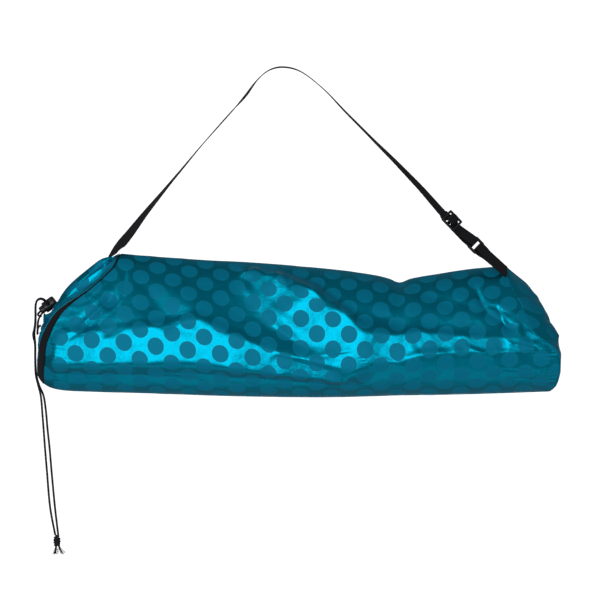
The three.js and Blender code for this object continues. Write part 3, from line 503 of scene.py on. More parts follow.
    def body(self, along: np.ndarray, angle: np.ndarray) -> np.ndarray:
        """Gives the body's outer face with all its folds, before it is placed in the frame."""
        point = self.smooth_body(along, angle)
        out = normals(self.smooth_body, along, angle)
        side = np.sin(angle)
        facing = np.abs(side) ** 0.8
        seams = smoothstep(along, 0, 0.05) * (1 - smoothstep(along, 0.95, 1))
        front, back = self.broad_folds(point, FRONT_FOLDS), self.broad_folds(point, BACK_FOLDS)
        broad = np.where(side > 0, front, back) * facing * seams
        folded = point + out * broad[..., None]
        for rows in FRONT_FLATS:
            lies, there = self.drawn_flat(point, rows)
            there = there * smoothstep(side, 0.1, 0.6) * smoothstep(along, 0, 0.02)
            there = there * (1 - smoothstep(along, 0.97, 1))
            folded[..., 1] += there * (lies - folded[..., 1])
        front, back = self.creases(point, FRONT_CREASES), self.creases(point, BACK_CREASES)
        sharp = np.where(side > 0, front, back) * facing * seams
        small = self.crumples(point[..., 0], self.cloth_at(point[..., 0], np.mod(angle, 2 * math.pi)))
        close = smoothstep(along, 0, 0.02) * (1 - smoothstep(along, 0.98, 1))
        puckers = self.puckers(along, angle)
        return folded + out * (sharp + small * close + puckers)[..., None]

    def puckers(self, along: np.ndarray, angle: np.ndarray) -> np.ndarray:
        """Gives the short puckers that run out from the mouth seam and the base seam."""
        ripple = np.sin(61 * angle + 2 * np.sin(5 * angle)) + 0.6 * np.sin(97 * angle + np.sin(7 * angle))
        at_mouth = np.exp(-along / 0.025) * smoothstep(along, 0, 0.006)
        at_base = np.exp(-(1 - along) / 0.02) * smoothstep(1 - along, 0, 0.005)
        return 0.0005 * ripple * (at_mouth + at_base)

    def base_panel(self, ring: np.ndarray, angle: np.ndarray) -> np.ndarray:
        """Gives the base panel's inner face, ring 1 at the seam and 0 in the middle."""
        size = self.size
        end = self.base_x(angle)
        rim = self.loop_point(end, angle)
        share = end / size.length
        low, high = self.height_at(share, np.array(0.0)), self.height_at(share, np.array(1.0))
        middle = (low + high) / 2
        y = ring * rim[..., 1]
        z = middle + ring * (rim[..., 2] - middle)
        up = np.clip((z - low) / (high - low), 0, 1)
        swell = 1 - ring**4
        x = size.length - size.base_slant * (self.base_back(up) - self.base_bulge(up) * swell)
        return np.stack([x, y, z], -1)

    def band(self, across: np.ndarray, angle: np.ndarray, out: np.ndarray) -> np.ndarray:
        """Gives the ribbon round the mouth, across from the collar's edge, 0, to the body's, 1."""
        size = self.size
        back = size.band_width + (size.seam_gap - size.band_width) * across

        def surface(behind: np.ndarray, at: np.ndarray) -> np.ndarray:
            return self.loop_point(self.mouth_x(at) + behind, at)

        point = surface(-back, angle)
        return point + normals(surface, -back, angle, 0.0004) * np.asarray(out)[..., None]

    def ribbon_edge(self, angle: np.ndarray) -> np.ndarray:
        """Gives how far across the ribbon the collar reaches: it hides most of the ribbon at the top."""
        return 0.84 * smoothstep(self.up_at(angle), 0.58, 0.8)

    def collar_inside(self, row: np.ndarray, angle: np.ndarray) -> np.ndarray:
        """Gives the collar's inner face between the ribbon, row 0, and the lip of the frill, row 8."""
        size = self.size
        row, angle = np.broadcast_arrays(np.asarray(row, float), np.asarray(angle, float))
        edge = self.band(self.ribbon_edge(angle), angle, np.full(angle.shape, -size.wall))
        edge = edge - np.array([size.seam_gap, 0, 0])
        out = self.out(row)
        radius = size.hole_radius + size.frill_flare * out
        hole = np.stack(
            [
                size.neck_inset - size.frill_length * out,
                -radius * np.sin(angle),
                size.hole_height - radius * np.cos(angle),
            ],
            -1,
        )
        puff = size.collar_puff * self.puff(row) * (size.puff_below + (1 - size.puff_below) * self.up_at(angle))
        share = self.to_hole(row)[..., None]
        return edge * (1 - share) + hole * share + PUFF_DIRECTION * puff[..., None]

    def collar_out(self, row: np.ndarray, angle: np.ndarray) -> np.ndarray:
        """Gives the directions out of the collar."""
        row, angle = np.broadcast_arrays(np.asarray(row, float), np.asarray(angle, float))
        smooth = normals(lambda r, a: self.collar_inside(-r, a), -row, angle)
        zero = np.zeros(angle.shape)
        flush = self.band(zero, angle, zero + 0.001) - self.band(zero, angle, zero)
        share = smoothstep(row, 0, self.size.flush_rows)[..., None]
        return unit(smooth * share + unit(flush) * (1 - share))

    def collar_outside(self, row: np.ndarray, angle: np.ndarray, pleat: np.ndarray) -> np.ndarray:
        """Gives the collar's outer face; pleat is 1 on a gather's ridge and -1 in its valley."""
        size = self.size
        lift = size.wall + size.gather_depth * self.gather(row) * (0.5 + 0.5 * pleat)
        return self.collar_inside(row, angle) + self.collar_out(row, angle) * lift[..., None]


def mesh_object(
    name: str,
    vertices: np.ndarray,
    faces: Sequence[Sequence[int]],
    material: bpy.types.Material,
    uv: np.ndarray | None = None,
    uv_faces: np.ndarray | None = None,
) -> bpy.types.Object:
    """Makes a smooth-shaded mesh object with its vertices in the part's frame.

    Args:
        name: The object's name.
        vertices: One row for each vertex, in metres.
        faces: The vertices of each face, in order, outward.
        material: Its finish.
        uv: Places on the cloth, in metres, or None.
        uv_faces: For each corner of each face, its row in uv; the vertices where it is None.

    Returns:
        The new object.
    """
    mesh = bpy.data.meshes.new(name)
    places = np.asarray(vertices, float).reshape(-1, 3).tolist()
    listed = faces.tolist() if isinstance(faces, np.ndarray) else [list(face) for face in faces]
    mesh.from_pydata(places, [], listed)
    mesh.polygons.foreach_set("use_smooth", np.ones(len(mesh.polygons), bool))
    if uv is not None:
        corners = np.concatenate([np.asarray(face) for face in (faces if uv_faces is None else uv_faces)])
        layer = mesh.uv_layers.new(name="cloth")
        layer.data.foreach_set("uv", np.asarray(uv, np.float32)[corners].ravel())
    mesh.materials.append(material)
    mesh.update()
    obj = bpy.data.objects.new(name, mesh)
    bpy.context.scene.collection.objects.link(obj)
    return obj


def loop_faces(rows: int, columns: int, closed_rows: bool) -> tuple[np.ndarray, np.ndarray]:
    """Lists the faces between loops that close on themselves.

    Args:
        rows: How many loops there are.
        columns: How many vertices a loop has.
        closed_rows: Whether the last loop joins the first.

    Returns:
        The vertices of each face, and the same for places on the cloth, which have a column more.
    """
    i = np.arange(rows if closed_rows else rows - 1)[:, None]
    j = np.arange(columns)[None, :]
    after, right = (i + 1) % rows, (j + 1) % columns
    corners = [(i, j), (after, j), (after, right), (i, right)]
    faces = np.stack([(a * columns + b + 0 * (i + j)).ravel() for a, b in corners], -1)
    wide = columns + 1
    places = [(i, j), (after, j), (after, j + 1), (i, j + 1)]
    uv_faces = np.stack([(a * wide + b + 0 * (i + j)).ravel() for a, b in places], -1)
    return faces, uv_faces


def shell(
    name: str, outer: np.ndarray, inner: np.ndarray, uv: np.ndarray, material: bpy.types.Material
) -> bpy.types.Object:
    """Makes a closed two-walled tube from the loops of its outer and inner faces.

    Args:
        name: The object's name.
        outer: The outer loops, from left to right.
        inner: The inner loops, in the same order.
        uv: Places on the cloth for each loop, with a column more than the loops have.
        material: Its finish.

    Returns:
        The new object.
    """
    loops = np.concatenate([outer, inner[::-1]])
    faces, uv_faces = loop_faces(loops.shape[0], loops.shape[1], True)
    places = np.concatenate([uv, uv[::-1]])
    return mesh_object(name, loops.reshape(-1, 3) + MOUTH_LOW, faces, material, places.reshape(-1, 2), uv_faces)


class Nodes:
    """Adds nodes to a material and joins them up."""

    def __init__(self, name: str) -> None:
        """Makes a material with a Principled BSDF of its own."""
        self.material = bpy.data.materials.new(name)
        self.material.use_nodes = True
        self.tree = self.material.node_tree
        self.tree.nodes.clear()
        self.output = self.tree.nodes.new("ShaderNodeOutputMaterial")
        self.shader = self.tree.nodes.new("ShaderNodeBsdfPrincipled")
        self.tree.links.new(self.shader.outputs["BSDF"], self.output.inputs["Surface"])

    def join(self, value, socket) -> None:
        """Links an output to a socket, or sets the socket to a number or colour."""
        if isinstance(value, bpy.types.NodeSocket):
            self.tree.links.new(value, socket)
        elif hasattr(value, "__len__") and len(value) == 3 and len(socket.default_value) == 4:
            socket.default_value = (*value, 1.0)
        else:
            socket.default_value = value

    def add(self, kind: str, settings: dict | None = None, **inputs):
        """Adds a node of a kind, with settings by attribute and inputs by name, spaces as underscores."""
        node = self.tree.nodes.new(kind)
        for key, value in (settings or {}).items():
            setattr(node, key, value)
        for key, value in inputs.items():
            self.join(value, node.inputs[key.replace("_", " ")])
        return node

    def math(self, operation: str, *values):
        """Adds a Math node and gives its output."""
        node = self.tree.nodes.new("ShaderNodeMath")
        node.operation = operation
        for i, value in enumerate(values):
            self.join(value, node.inputs[i])
        return node.outputs[0]

    def vector(self, operation: str, *values, scale=None):
        """Adds a Vector Math node and gives its output, a number for a length."""
        node = self.tree.nodes.new("ShaderNodeVectorMath")
        node.operation = operation
        for i, value in enumerate(values):
            self.join(value, node.inputs[i])
        if scale is not None:
            self.join(scale, node.inputs["Scale"])
        return node.outputs["Value" if operation in ("LENGTH", "DISTANCE") else "Vector"]

    def ease(self, value, low: float, high: float, start: float = 0.0, end: float = 1.0):
        """Eases a value from start at low to end at high."""
        node = self.add("ShaderNodeMapRange", {"interpolation_type": "SMOOTHSTEP"}, Value=value)
        node.inputs["From Min"].default_value = low
        node.inputs["From Max"].default_value = high
        node.inputs["To Min"].default_value = start
        node.inputs["To Max"].default_value = end
        return node.outputs["Result"]

    def mix(self, share, first, second):
        """Mixes two colours."""
        node = self.tree.nodes.new("ShaderNodeMix")
        node.data_type = "RGBA"
        self.join(share, node.inputs["Factor"])
        self.join(first, node.inputs["A"] if node.inputs["A"].type == "RGBA" else node.inputs[6])
        self.join(second, node.inputs["B"] if node.inputs["B"].type == "RGBA" else node.inputs[7])
        return node.outputs[2]

    def noise(self, vector, scale: float, detail: float = 3.0):
        """Adds a noise texture and gives its value, from 0 to 1."""
        node = self.add("ShaderNodeTexNoise", Vector=vector, Scale=scale, Detail=detail)
        return node.outputs["Fac"]

    def bump(self, height, strength: float, distance: float, normal=None):
        """Adds a Bump node and gives its normal."""
        node = self.add("ShaderNodeBump", Height=height, Strength=strength, Distance=distance)
        if normal is not None:
            self.tree.links.new(normal, node.inputs["Normal"])
        return node.outputs["Normal"]

    def uv(self):
        """Gives the places on the cloth."""
        return self.add("ShaderNodeUVMap", {"uv_map": "cloth"}).outputs["UV"]

    def here(self):
        """Gives the places in the object."""
        return self.add("ShaderNodeTexCoord").outputs["Object"]

    def set(self, **values) -> None:
        """Sets or links inputs of the Principled BSDF, spaces as underscores."""
        for key, value in values.items():
            self.join(value, self.shader.inputs[key.replace("_", " ")])


@dataclass(frozen=True)
class SatinFinish:
    """The dotted satin: shiny ground and matte dots of the same colour."""

    ground: tuple[float, float, float] = (0.0, 0.42, 0.62)
    dot: tuple[float, float, float] = (0.0, 0.33, 0.53)
    ground_metallic: float = 0.93
    dot_metallic: float = 0.25
    ground_roughness: float = 0.4
    dot_roughness: float = 0.58
    specular: float = 0.12
    dot_radius: float = 0.0104
    dot_pitch: float = 0.0403
    row_pitch: float = 0.0362
    dot_edge: float = 0.0003
    rim_width: float = 0.0009
    sheen: float = 0.03
    weave_pitch: float = 0.0007

    def _to_dot(self, n: Nodes, cells, shift: float):
        """Gives how far a place is from the nearest dot of one of the two staggered rows."""
        moved = n.vector("FRACTION", n.vector("ADD", cells, (shift, shift, 0)))
        cell = n.vector("SUBTRACT", moved, (0.5, 0.5, 0))
        return n.vector("LENGTH", n.vector("MULTIPLY", cell, (self.dot_pitch, self.row_pitch, 0)))

    def build(self, name: str, phase: tuple[float, float]) -> bpy.types.Material:
        """Makes the material.

        Args:
            name: Its name.
            phase: The place on the cloth, in metres, of the middle of one dot.

        Returns:
            The material.
        """
        n = Nodes(name)
        uv = n.uv()
        wander = n.add("ShaderNodeTexNoise", Vector=uv, Scale=9.0, Detail=1.0).outputs["Color"]
        wander = n.vector("SCALE", n.vector("SUBTRACT", wander, (0.5, 0.5, 0.5)), scale=0.0022)
        placed = n.vector("ADD", n.vector("SUBTRACT", uv, (phase[0], phase[1], 0)), wander)
        cells = n.vector("MULTIPLY", placed, (1 / self.dot_pitch, 1 / self.row_pitch, 0))
        away = n.math("MINIMUM", self._to_dot(n, cells, 0.5), self._to_dot(n, cells, 0.0))
        dot = n.ease(away, self.dot_radius - self.dot_edge, self.dot_radius + self.dot_edge, 1.0, 0.0)
        rim_far = n.math("ABSOLUTE", n.math("SUBTRACT", away, self.dot_radius))
        rim = n.ease(rim_far, 0.2 * self.rim_width, self.rim_width, 1.0, 0.0)
        broad = n.noise(uv, 14.0)
        fine = n.noise(uv, 900.0, 2.0)
        ground = n.mix(broad, tuple(0.9 * c for c in self.ground), tuple(1.08 * c for c in self.ground))
        dots = n.mix(fine, tuple(0.88 * c for c in self.dot), tuple(1.12 * c for c in self.dot))
        colour = n.mix(n.math("MULTIPLY", rim, 0.35), n.mix(dot, ground, dots), (0.02, 0.42, 0.58))
        less_metallic = n.math("MULTIPLY", dot, self.dot_metallic - self.ground_metallic)
        metallic = n.math("ADD", less_metallic, self.ground_metallic)
        rougher = n.math("MULTIPLY", dot, self.dot_roughness - self.ground_roughness)
        rough = n.math("ADD", rougher, self.ground_roughness)
        rough = n.math("ADD", rough, n.math("MULTIPLY", n.math("SUBTRACT", fine, 0.5), 0.12))
        parts = n.add("ShaderNodeSeparateXYZ", Vector=uv).outputs
        turn = 2 * math.pi / self.weave_pitch
        leaning_thread = n.math("ADD", parts["Y"], n.math("MULTIPLY", parts["X"], 0.5))
        warp = n.math("SINE", n.math("MULTIPLY", parts["X"], turn))
        weft = n.math("SINE", n.math("MULTIPLY", leaning_thread, turn))
        weave = n.bump(n.math("MULTIPLY", warp, weft), 0.12, 0.00008)
        crinkle = n.bump(n.noise(uv, 55.0, 4.0), 0.22, 0.004, weave)
        soft = n.bump(n.noise(uv, 18.0, 3.0), 0.18, 0.012, crinkle)
        n.set(Base_Color=colour, Metallic=metallic, Roughness=rough, Normal=soft, Sheen_Weight=self.sheen)
        n.set(Sheen_Roughness=0.4, Sheen_Tint=(0.35, 0.75, 0.9), Specular_IOR_Level=self.specular)
        return n.material


@dataclass(frozen=True)
class WovenFinish:
    """Black webbing or ribbon, woven with a pitch along and across, with a painted highlight on the tops of the
    weave.
    """

    colour: tuple[float, float, float]
    pitch_along: float
    pitch_across: float
    roughness: float
    depth: float
    sheen: float = 0.03
    specular: float = 0.3

    def build(self, name: str) -> bpy.types.Material:
        """Makes the material."""
        n = Nodes(name)
        uv = n.uv()
        parts = n.add("ShaderNodeSeparateXYZ", Vector=uv).outputs
        along = n.math("SINE", n.math("MULTIPLY", parts["X"], 2 * math.pi / self.pitch_along))
        across = n.math("SINE", n.math("MULTIPLY", parts["Y"], 2 * math.pi / self.pitch_across))
        weave = n.math("MULTIPLY", along, across)
        fluff = n.noise(uv, 700.0, 3.0)
        # Painted highlight: the tops of the weave are made lighter in colour as if they caught the light, mixed with
        # random lighter fibre tone
        light = n.math("ADD", n.math("MULTIPLY", weave, 0.3), fluff)
        highlight_and_fluff_colour = tuple(2.6 * c for c in self.colour)
        colour = n.mix(n.ease(light, 0.1, 1.1), self.colour, highlight_and_fluff_colour)
        woven = n.bump(weave, 0.7, self.depth)
        normal = n.bump(fluff, 0.3, 0.0002, woven)
        rough = n.math("ADD", n.math("MULTIPLY", fluff, 0.2), self.roughness - 0.1)
        n.set(Base_Color=colour, Roughness=rough, Normal=normal, Sheen_Weight=self.sheen, Sheen_Roughness=0.5)
        n.set(Specular_IOR_Level=self.specular)
        return n.material


@dataclass(frozen=True)
class PlasticFinish:
    """Black moulded plastic, a little worn."""

    colour: tuple[float, float, float]
    roughness: float
    grain: float

    def build(self, name: str) -> bpy.types.Material:
        """Makes the material."""
        n = Nodes(name)
        place = n.here()
        scuffs = n.noise(place, 260.0, 5.0)
        grain = n.noise(place, 2400.0, 2.0)
        colour = n.mix(n.ease(scuffs, 0.55, 0.8), self.colour, tuple(2.2 * c for c in self.colour))
        rough = n.math("ADD", n.math("MULTIPLY", scuffs, 0.22), self.roughness - 0.11)
        normal = n.bump(grain, self.grain, 0.0001)
        n.set(Base_Color=colour, Roughness=rough, Normal=normal, Coat_Weight=0.15)
        return n.material


@dataclass(frozen=True)
class CordFinish:
    """Black braided cord."""

    colour: tuple[float, float, float] = (0.010, 0.010, 0.012)

    def build(self, name: str) -> bpy.types.Material:
        """Makes the material."""
        n = Nodes(name)
        place = n.here()
        fibre = n.noise(place, 1800.0, 3.0)
        colour = n.mix(fibre, self.colour, tuple(3.2 * c for c in self.colour))
        n.set(Base_Color=colour, Roughness=0.62, Normal=n.bump(fibre, 0.5, 0.0002))
        n.set(Sheen_Weight=0.04, Sheen_Roughness=0.4, Specular_IOR_Level=0.3)
        return n.material


class Finishes:
    """All the materials of the bag."""

    def __init__(self, dot_phase: tuple[float, float]) -> None:
        """Builds the materials.

        Args:
            dot_phase: The place on the cloth of the middle of one dot.
        """
        self.satin = SatinFinish().build(Slot.SATIN.value, dot_phase)
        self.ribbon = WovenFinish((0.010, 0.009, 0.011), 0.0011, 0.0005, 0.6, 0.0002).build(Slot.RIBBON.value)
        self.webbing = WovenFinish((0.010, 0.010, 0.012), 0.0016, 0.0012, 0.7, 0.0003).build(Slot.WEBBING.value)
        self.hardware = PlasticFinish((0.012, 0.012, 0.014), 0.34, 0.12).build(Slot.HARDWARE.value)
        self.lock = PlasticFinish((0.011, 0.011, 0.013), 0.42, 0.2).build(Slot.LOCK.value)
        self.cord = CordFinish().build(Slot.CORD.value)
        self.thread = CordFinish((0.014, 0.014, 0.016)).build("black_thread")
        self.satin_thread = CordFinish((0.0, 0.12, 0.19)).build("satin_thread")


def centripetal(points: np.ndarray, steps: int) -> np.ndarray:
    """Draws a centripetal Catmull-Rom curve through points.

    Args:
        points: The points that it passes through.
        steps: How many steps it has from point to point.

    Returns:
        The points of the curve.
    """
    points = np.asarray(points, float)
    ends = np.vstack([2 * points[0] - points[1], points, 2 * points[-1] - points[-2]])
    curve = []
    for p0, p1, p2, p3 in zip(ends, ends[1:], ends[2:], ends[3:]):
        d0, d1, d2 = (math.sqrt(max(np.linalg.norm(b - a), 1e-9)) for a, b in ((p0, p1), (p1, p2), (p2, p3)))
        t1 = ((p1 - p0) / d0 - (p2 - p0) / (d0 + d1) + (p2 - p1) / d1) * d1
        t2 = ((p2 - p1) / d1 - (p3 - p1) / (d1 + d2) + (p3 - p2) / d2) * d1
        t = np.linspace(0, 1, steps, endpoint=False)[:, None]
        curve.append(p1 + t1 * t + (3 * (p2 - p1) - 2 * t1 - t2) * t**2 + (2 * (p1 - p2) + t1 + t2) * t**3)
    return np.vstack([*curve, points[-1:]])


def even(points: np.ndarray, count: int) -> np.ndarray:
    """Spaces count points evenly along a line of points."""
    length = np.concatenate([[0], np.cumsum(np.linalg.norm(np.diff(points, axis=0), axis=1))])
    at = np.linspace(0, length[-1], count)
    return np.stack([np.interp(at, length, points[:, k]) for k in range(3)], -1)


def along_line(points: np.ndarray) -> np.ndarray:
    """Gives the distance along a line at each of its points."""
    return np.concatenate([[0], np.cumsum(np.linalg.norm(np.diff(points, axis=0), axis=1))])


def frames_along(points: np.ndarray) -> tuple[np.ndarray, np.ndarray, np.ndarray]:
    """Carries a cross section along a line without twist.

    Args:
        points: The line.

    Returns:
        The directions along, to the side and up at each point.
    """
    tangent = unit(np.gradient(points, axis=0))
    side = np.zeros_like(points)
    start = np.cross(tangent[0], [0.0, 1.0, 0.0])
    side[0] = unit(start if np.linalg.norm(start) > 0.1 else np.cross(tangent[0], [1.0, 0.0, 0.0]))
    for i in range(1, len(points)):
        carried = side[i - 1] - tangent[i] * np.dot(side[i - 1], tangent[i])
        side[i] = unit(carried)
    return tangent, side, np.cross(tangent, side)


@dataclass(frozen=True)
class BraidSize:
    """A braided cord, in metres."""

    diameter: float = 0.0028
    sides: int = 20
    ring_step: float = 0.00065
    strands: int = 6
    pitch: float = 0.009
    relief: float = 0.00013


def braided_tube(
    line: np.ndarray, braid: BraidSize, diameter: float | None = None
) -> tuple[np.ndarray, list, np.ndarray]:
    """Makes a closed tube with the relief of a braid.

    Args:
        line: Its centreline.
        braid: The braid's sizes.
        diameter: Its diameter where it isn't the braid's.

    Returns:
        The vertices, the faces and the centres of the rings.
    """
    count = max(int(along_line(line)[-1] / braid.ring_step), 4)
    centres = even(line, count)
    _, side, up = frames_along(centres)
    at = along_line(centres)[:, None]
    angle = np.linspace(0, 2 * math.pi, braid.sides, endpoint=False)[None, :]
    turn = 2 * math.pi * at / braid.pitch
    one = np.abs(np.sin(braid.strands / 2 * (angle + turn)))
    other = np.abs(np.sin(braid.strands / 2 * (angle - turn)))
    radius = (diameter or braid.diameter) / 2 - braid.relief * (1 - np.maximum(one, other)) * 4
    rings = (
        centres[:, None]
        + side[:, None] * (radius * np.cos(angle))[..., None]
        + up[:, None] * (radius * np.sin(angle))[..., None]
    )
    vertices = np.vstack([rings.reshape(-1, 3), centres[:1], centres[-1:]])
    faces, _ = loop_faces(count, braid.sides, False)
    faces = faces[:, ::-1].tolist()
    start, end = count * braid.sides, count * braid.sides + 1
    last = (count - 1) * braid.sides
    for j in range(braid.sides):
        k = (j + 1) % braid.sides
        faces.append([start, k, j])
        faces.append([end, last + j, last + k])
    return vertices, faces, centres


# The two ends of the drawcord, from the middle of the hole: the points of the part's route
FRONT_CORD = np.array([
    (-0.0028, -0.0034, -0.0062), (-0.0052, -0.0036, -0.0074), (-0.007, -0.0032, -0.0106),
    (-0.0076, -0.0012, -0.0146), (-0.0079, 0.0028, -0.017), (-0.0081, 0.0074, -0.0164),
    (-0.0083, 0.011, -0.0124), (-0.0083, 0.0134, -0.0064), (-0.0076, 0.0164, 0.0004),
    (-0.005, 0.0206, 0.0066), (-0.0008, 0.0248, 0.0116), (0.0034, 0.0268, 0.0148),
    (0.0072, 0.0256, 0.017), (0.0099, 0.0214, 0.017), (0.0097, 0.0149, 0.0159),
    (0.0054, -0.0014, 0.0216), (0.0042, -0.0054, 0.0232), (0.0018, -0.0092, 0.0253),
    (-0.0028, -0.011, 0.0272), (-0.0072, -0.0094, 0.0254), (-0.0094, -0.0068, 0.0204),
    (-0.0099, -0.005, 0.013), (-0.01, -0.0044, 0.004), (-0.0104, -0.0044, -0.004),
    (-0.0114, -0.0045, -0.011), (-0.0127, -0.0046, -0.0166), (-0.0124, -0.004, -0.0216),
    (-0.0112, -0.0026, -0.0266), (-0.0106, -0.0014, -0.033), (-0.0106, -0.0008, -0.045),
    (-0.0104, -0.0006, -0.058), (-0.0096, -0.0004, -0.07), (-0.0068, -0.0002, -0.082),
    (-0.0036, 0, -0.095), (-0.001, 0, -0.124), (0.0019, 0, -0.162), (0.0044, 0, -0.192),
    (0.0085, 0, -0.238), (0.0149, 0, -0.2726),
])
BACK_CORD = np.array([
    (-0.0028, 0.0044, 0.0052), (-0.0056, 0.0056, 0.0058), (-0.0076, 0.009, 0.007),
    (-0.0076, 0.0134, 0.0088), (-0.005, 0.0176, 0.0116), (-0.001, 0.0204, 0.0154),
    (0.003, 0.0214, 0.0186), (0.006, 0.0198, 0.0196), (0.00783, 0.01624, 0.01836),
    (0.0035, -0.0001, 0.0241), (0.0022, -0.0038, 0.0256), (-0.0004, -0.0064, 0.0274),
    (-0.0042, -0.007, 0.0278), (-0.008, -0.0052, 0.025), (-0.0096, -0.003, 0.0196),
    (-0.0099, -0.0014, 0.012), (-0.0099, -0.0008, 0.004), (-0.0102, -0.0007, -0.004),
    (-0.011, -0.0006, -0.011), (-0.0116, 0.0006, -0.0166), (-0.0114, 0.0022, -0.022),
    (-0.0108, 0.0032, -0.028), (-0.0106, 0.0034, -0.036), (-0.0106, 0.0034, -0.047),
    (-0.0103, 0.0036, -0.059), (-0.009, 0.0038, -0.071), (-0.0056, 0.0038, -0.083),
    (-0.0004, 0.0034, -0.095), (0.0026, 0.003, -0.113), (0.0051, 0.002, -0.139),
    (0.0076, 0.0014, -0.162), (0.0102, 0.001, -0.192), (0.0146, 0.0004, -0.238),
    (0.0187, 0, -0.2726),
])
HOLE = MOUTH_LOW + np.array([SIZE.neck_inset - SIZE.frill_length, 0, SIZE.hole_height])


@dataclass(frozen=True)
class KnotSize:
    """The knot at the ends of the drawcord, in metres."""

    middle: tuple[float, float, float] = (0.0171, 0.0, -0.280)
    length: float = 0.013
    diameter: float = 0.0095
    tip_length: float = 0.011
    turns: float = 3.4
    fibres: int = 26


class Drawcord:
    """The two ends of the drawcord, and the knot that ties them."""

    def __init__(self, braid: BraidSize, knot: KnotSize) -> None:
        """Keeps the sizes of the cord and its knot."""
        self.braid = braid
        self.knot = knot

    def cord(self, name: str, route: np.ndarray, finishes: Finishes, pieces: Sequence = ()) -> bpy.types.Object:
        """Args:
            name: The CAD node that it stands for.
            route: Its points, from the middle of the hole.
            finishes: The materials.
            pieces: Not used.

        Returns:
            The new object.
        """
        line = centripetal(route + HOLE, 12)
        vertices, faces, centres = braided_tube(line, self.braid)
        obj = mesh_object(f"{name}_braid", vertices, faces, finishes.cord)
        dress(obj, Slot.CORD, name)
        return obj

    def make_knot(self, finishes: Finishes) -> bpy.types.Object:
        """Makes the knot: turns of cord round the two ends, and the two frayed tips."""
        size = self.knot
        middle = HOLE + np.array(size.middle)
        coil = size.diameter / 2 - self.braid.diameter / 2
        rise = size.length - self.braid.diameter
        t = np.linspace(0, 1, 90)
        angle = 2 * math.pi * size.turns * t + 0.6
        bulge = 0.8 + 0.2 * np.sin(math.pi * t)
        turns = np.stack(
            [
                coil * bulge * np.cos(angle),
                coil * bulge * np.sin(angle),
                rise * (0.5 - t) + 0.0009 * np.sin(2 * angle),
            ],
            -1,
        )
        pieces = [braided_tube(middle + turns, self.braid)[:2]]
        top = middle + np.array([0, 0, size.length / 2])
        for side in (-0.0012, 0.0012):
            strand = np.stack([top + np.array([side, 0, 0.0012]), middle + np.array([0.6 * side, 0, 0]),
                               middle - np.array([-side, 0, size.length / 2])])
            pieces.append(braided_tube(centripetal(strand, 8), self.braid)[:2])
        rng = np.random.default_rng(4)
        for aside, forward in ((-0.0028, -0.0012), (0.007, 0.0012)):
            low = -size.length / 2
            way = middle + np.array([
                (0.18 * aside, forward, 0.4 * low), (0.36 * aside, forward, low),
                (0.57 * aside, forward, low - 0.45 * size.tip_length),
            ])
            line = centripetal(way, 8)
            pieces.append(braided_tube(line, self.braid)[:2])
            hair = BraidSize(diameter=0.00038, sides=5, ring_step=0.0012, relief=0)
            for _ in range(size.fibres):
                spread = rng.normal(0, 1, 2) * self.braid.diameter * 0.33
                root = line[-4] + np.array([spread[0], spread[1], 0])
                tip = middle + np.array([aside + 2.1 * spread[0], forward + 2.1 * spread[1],
                                         low - size.tip_length * rng.uniform(0.72, 1)])
                bend = (root + tip) / 2 + np.append(rng.normal(0, 0.0004, 2), 0)
                pieces.append(braided_tube(centripetal(np.stack([root, bend, tip]), 4), hair)[:2])
        obj = joined("cord_knot_tied", pieces, finishes.cord)
        return dress(obj, Slot.CORD, "cord_knot")

    def build(self, finishes: Finishes) -> None:
        """Makes both ends and the knot."""
        knot = self.make_knot(finishes)
        self.cord("drawcord_front", FRONT_CORD, finishes, [knot])
        self.cord("drawcord_back", BACK_CORD, finishes)


def joined(name: str, pieces: Sequence, material: bpy.types.Material) -> bpy.types.Object:
    """Makes one object of several sets of vertices and faces."""
    vertices, faces, start = [], [], 0
    for points, loops in pieces:
        vertices.append(points)
        faces.extend([[start + i for i in loop] for loop in loops])
        start += len(points)
    return mesh_object(name, np.vstack(vertices), faces, material)


def dress(obj: bpy.types.Object, slot: Slot, *nodes: str, body: BodyName = BodyName.BAG) -> bpy.types.Object:
    """Makes a piece ride on a body and stand for CAD nodes, which it hides."""
    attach(obj, body.value)
    if nodes:
        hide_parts(*nodes)
    return obj


@dataclass(frozen=True)
class ClothGrid:
    """How finely the cloth is made."""

    around: int = 176
    along: int = 262
    collar_around: int = 420
    collar_rows: int = 64
    panel_rings: int = 40
    finer_at_ends: float = 0.35
    finer_in_front: float = 0.35


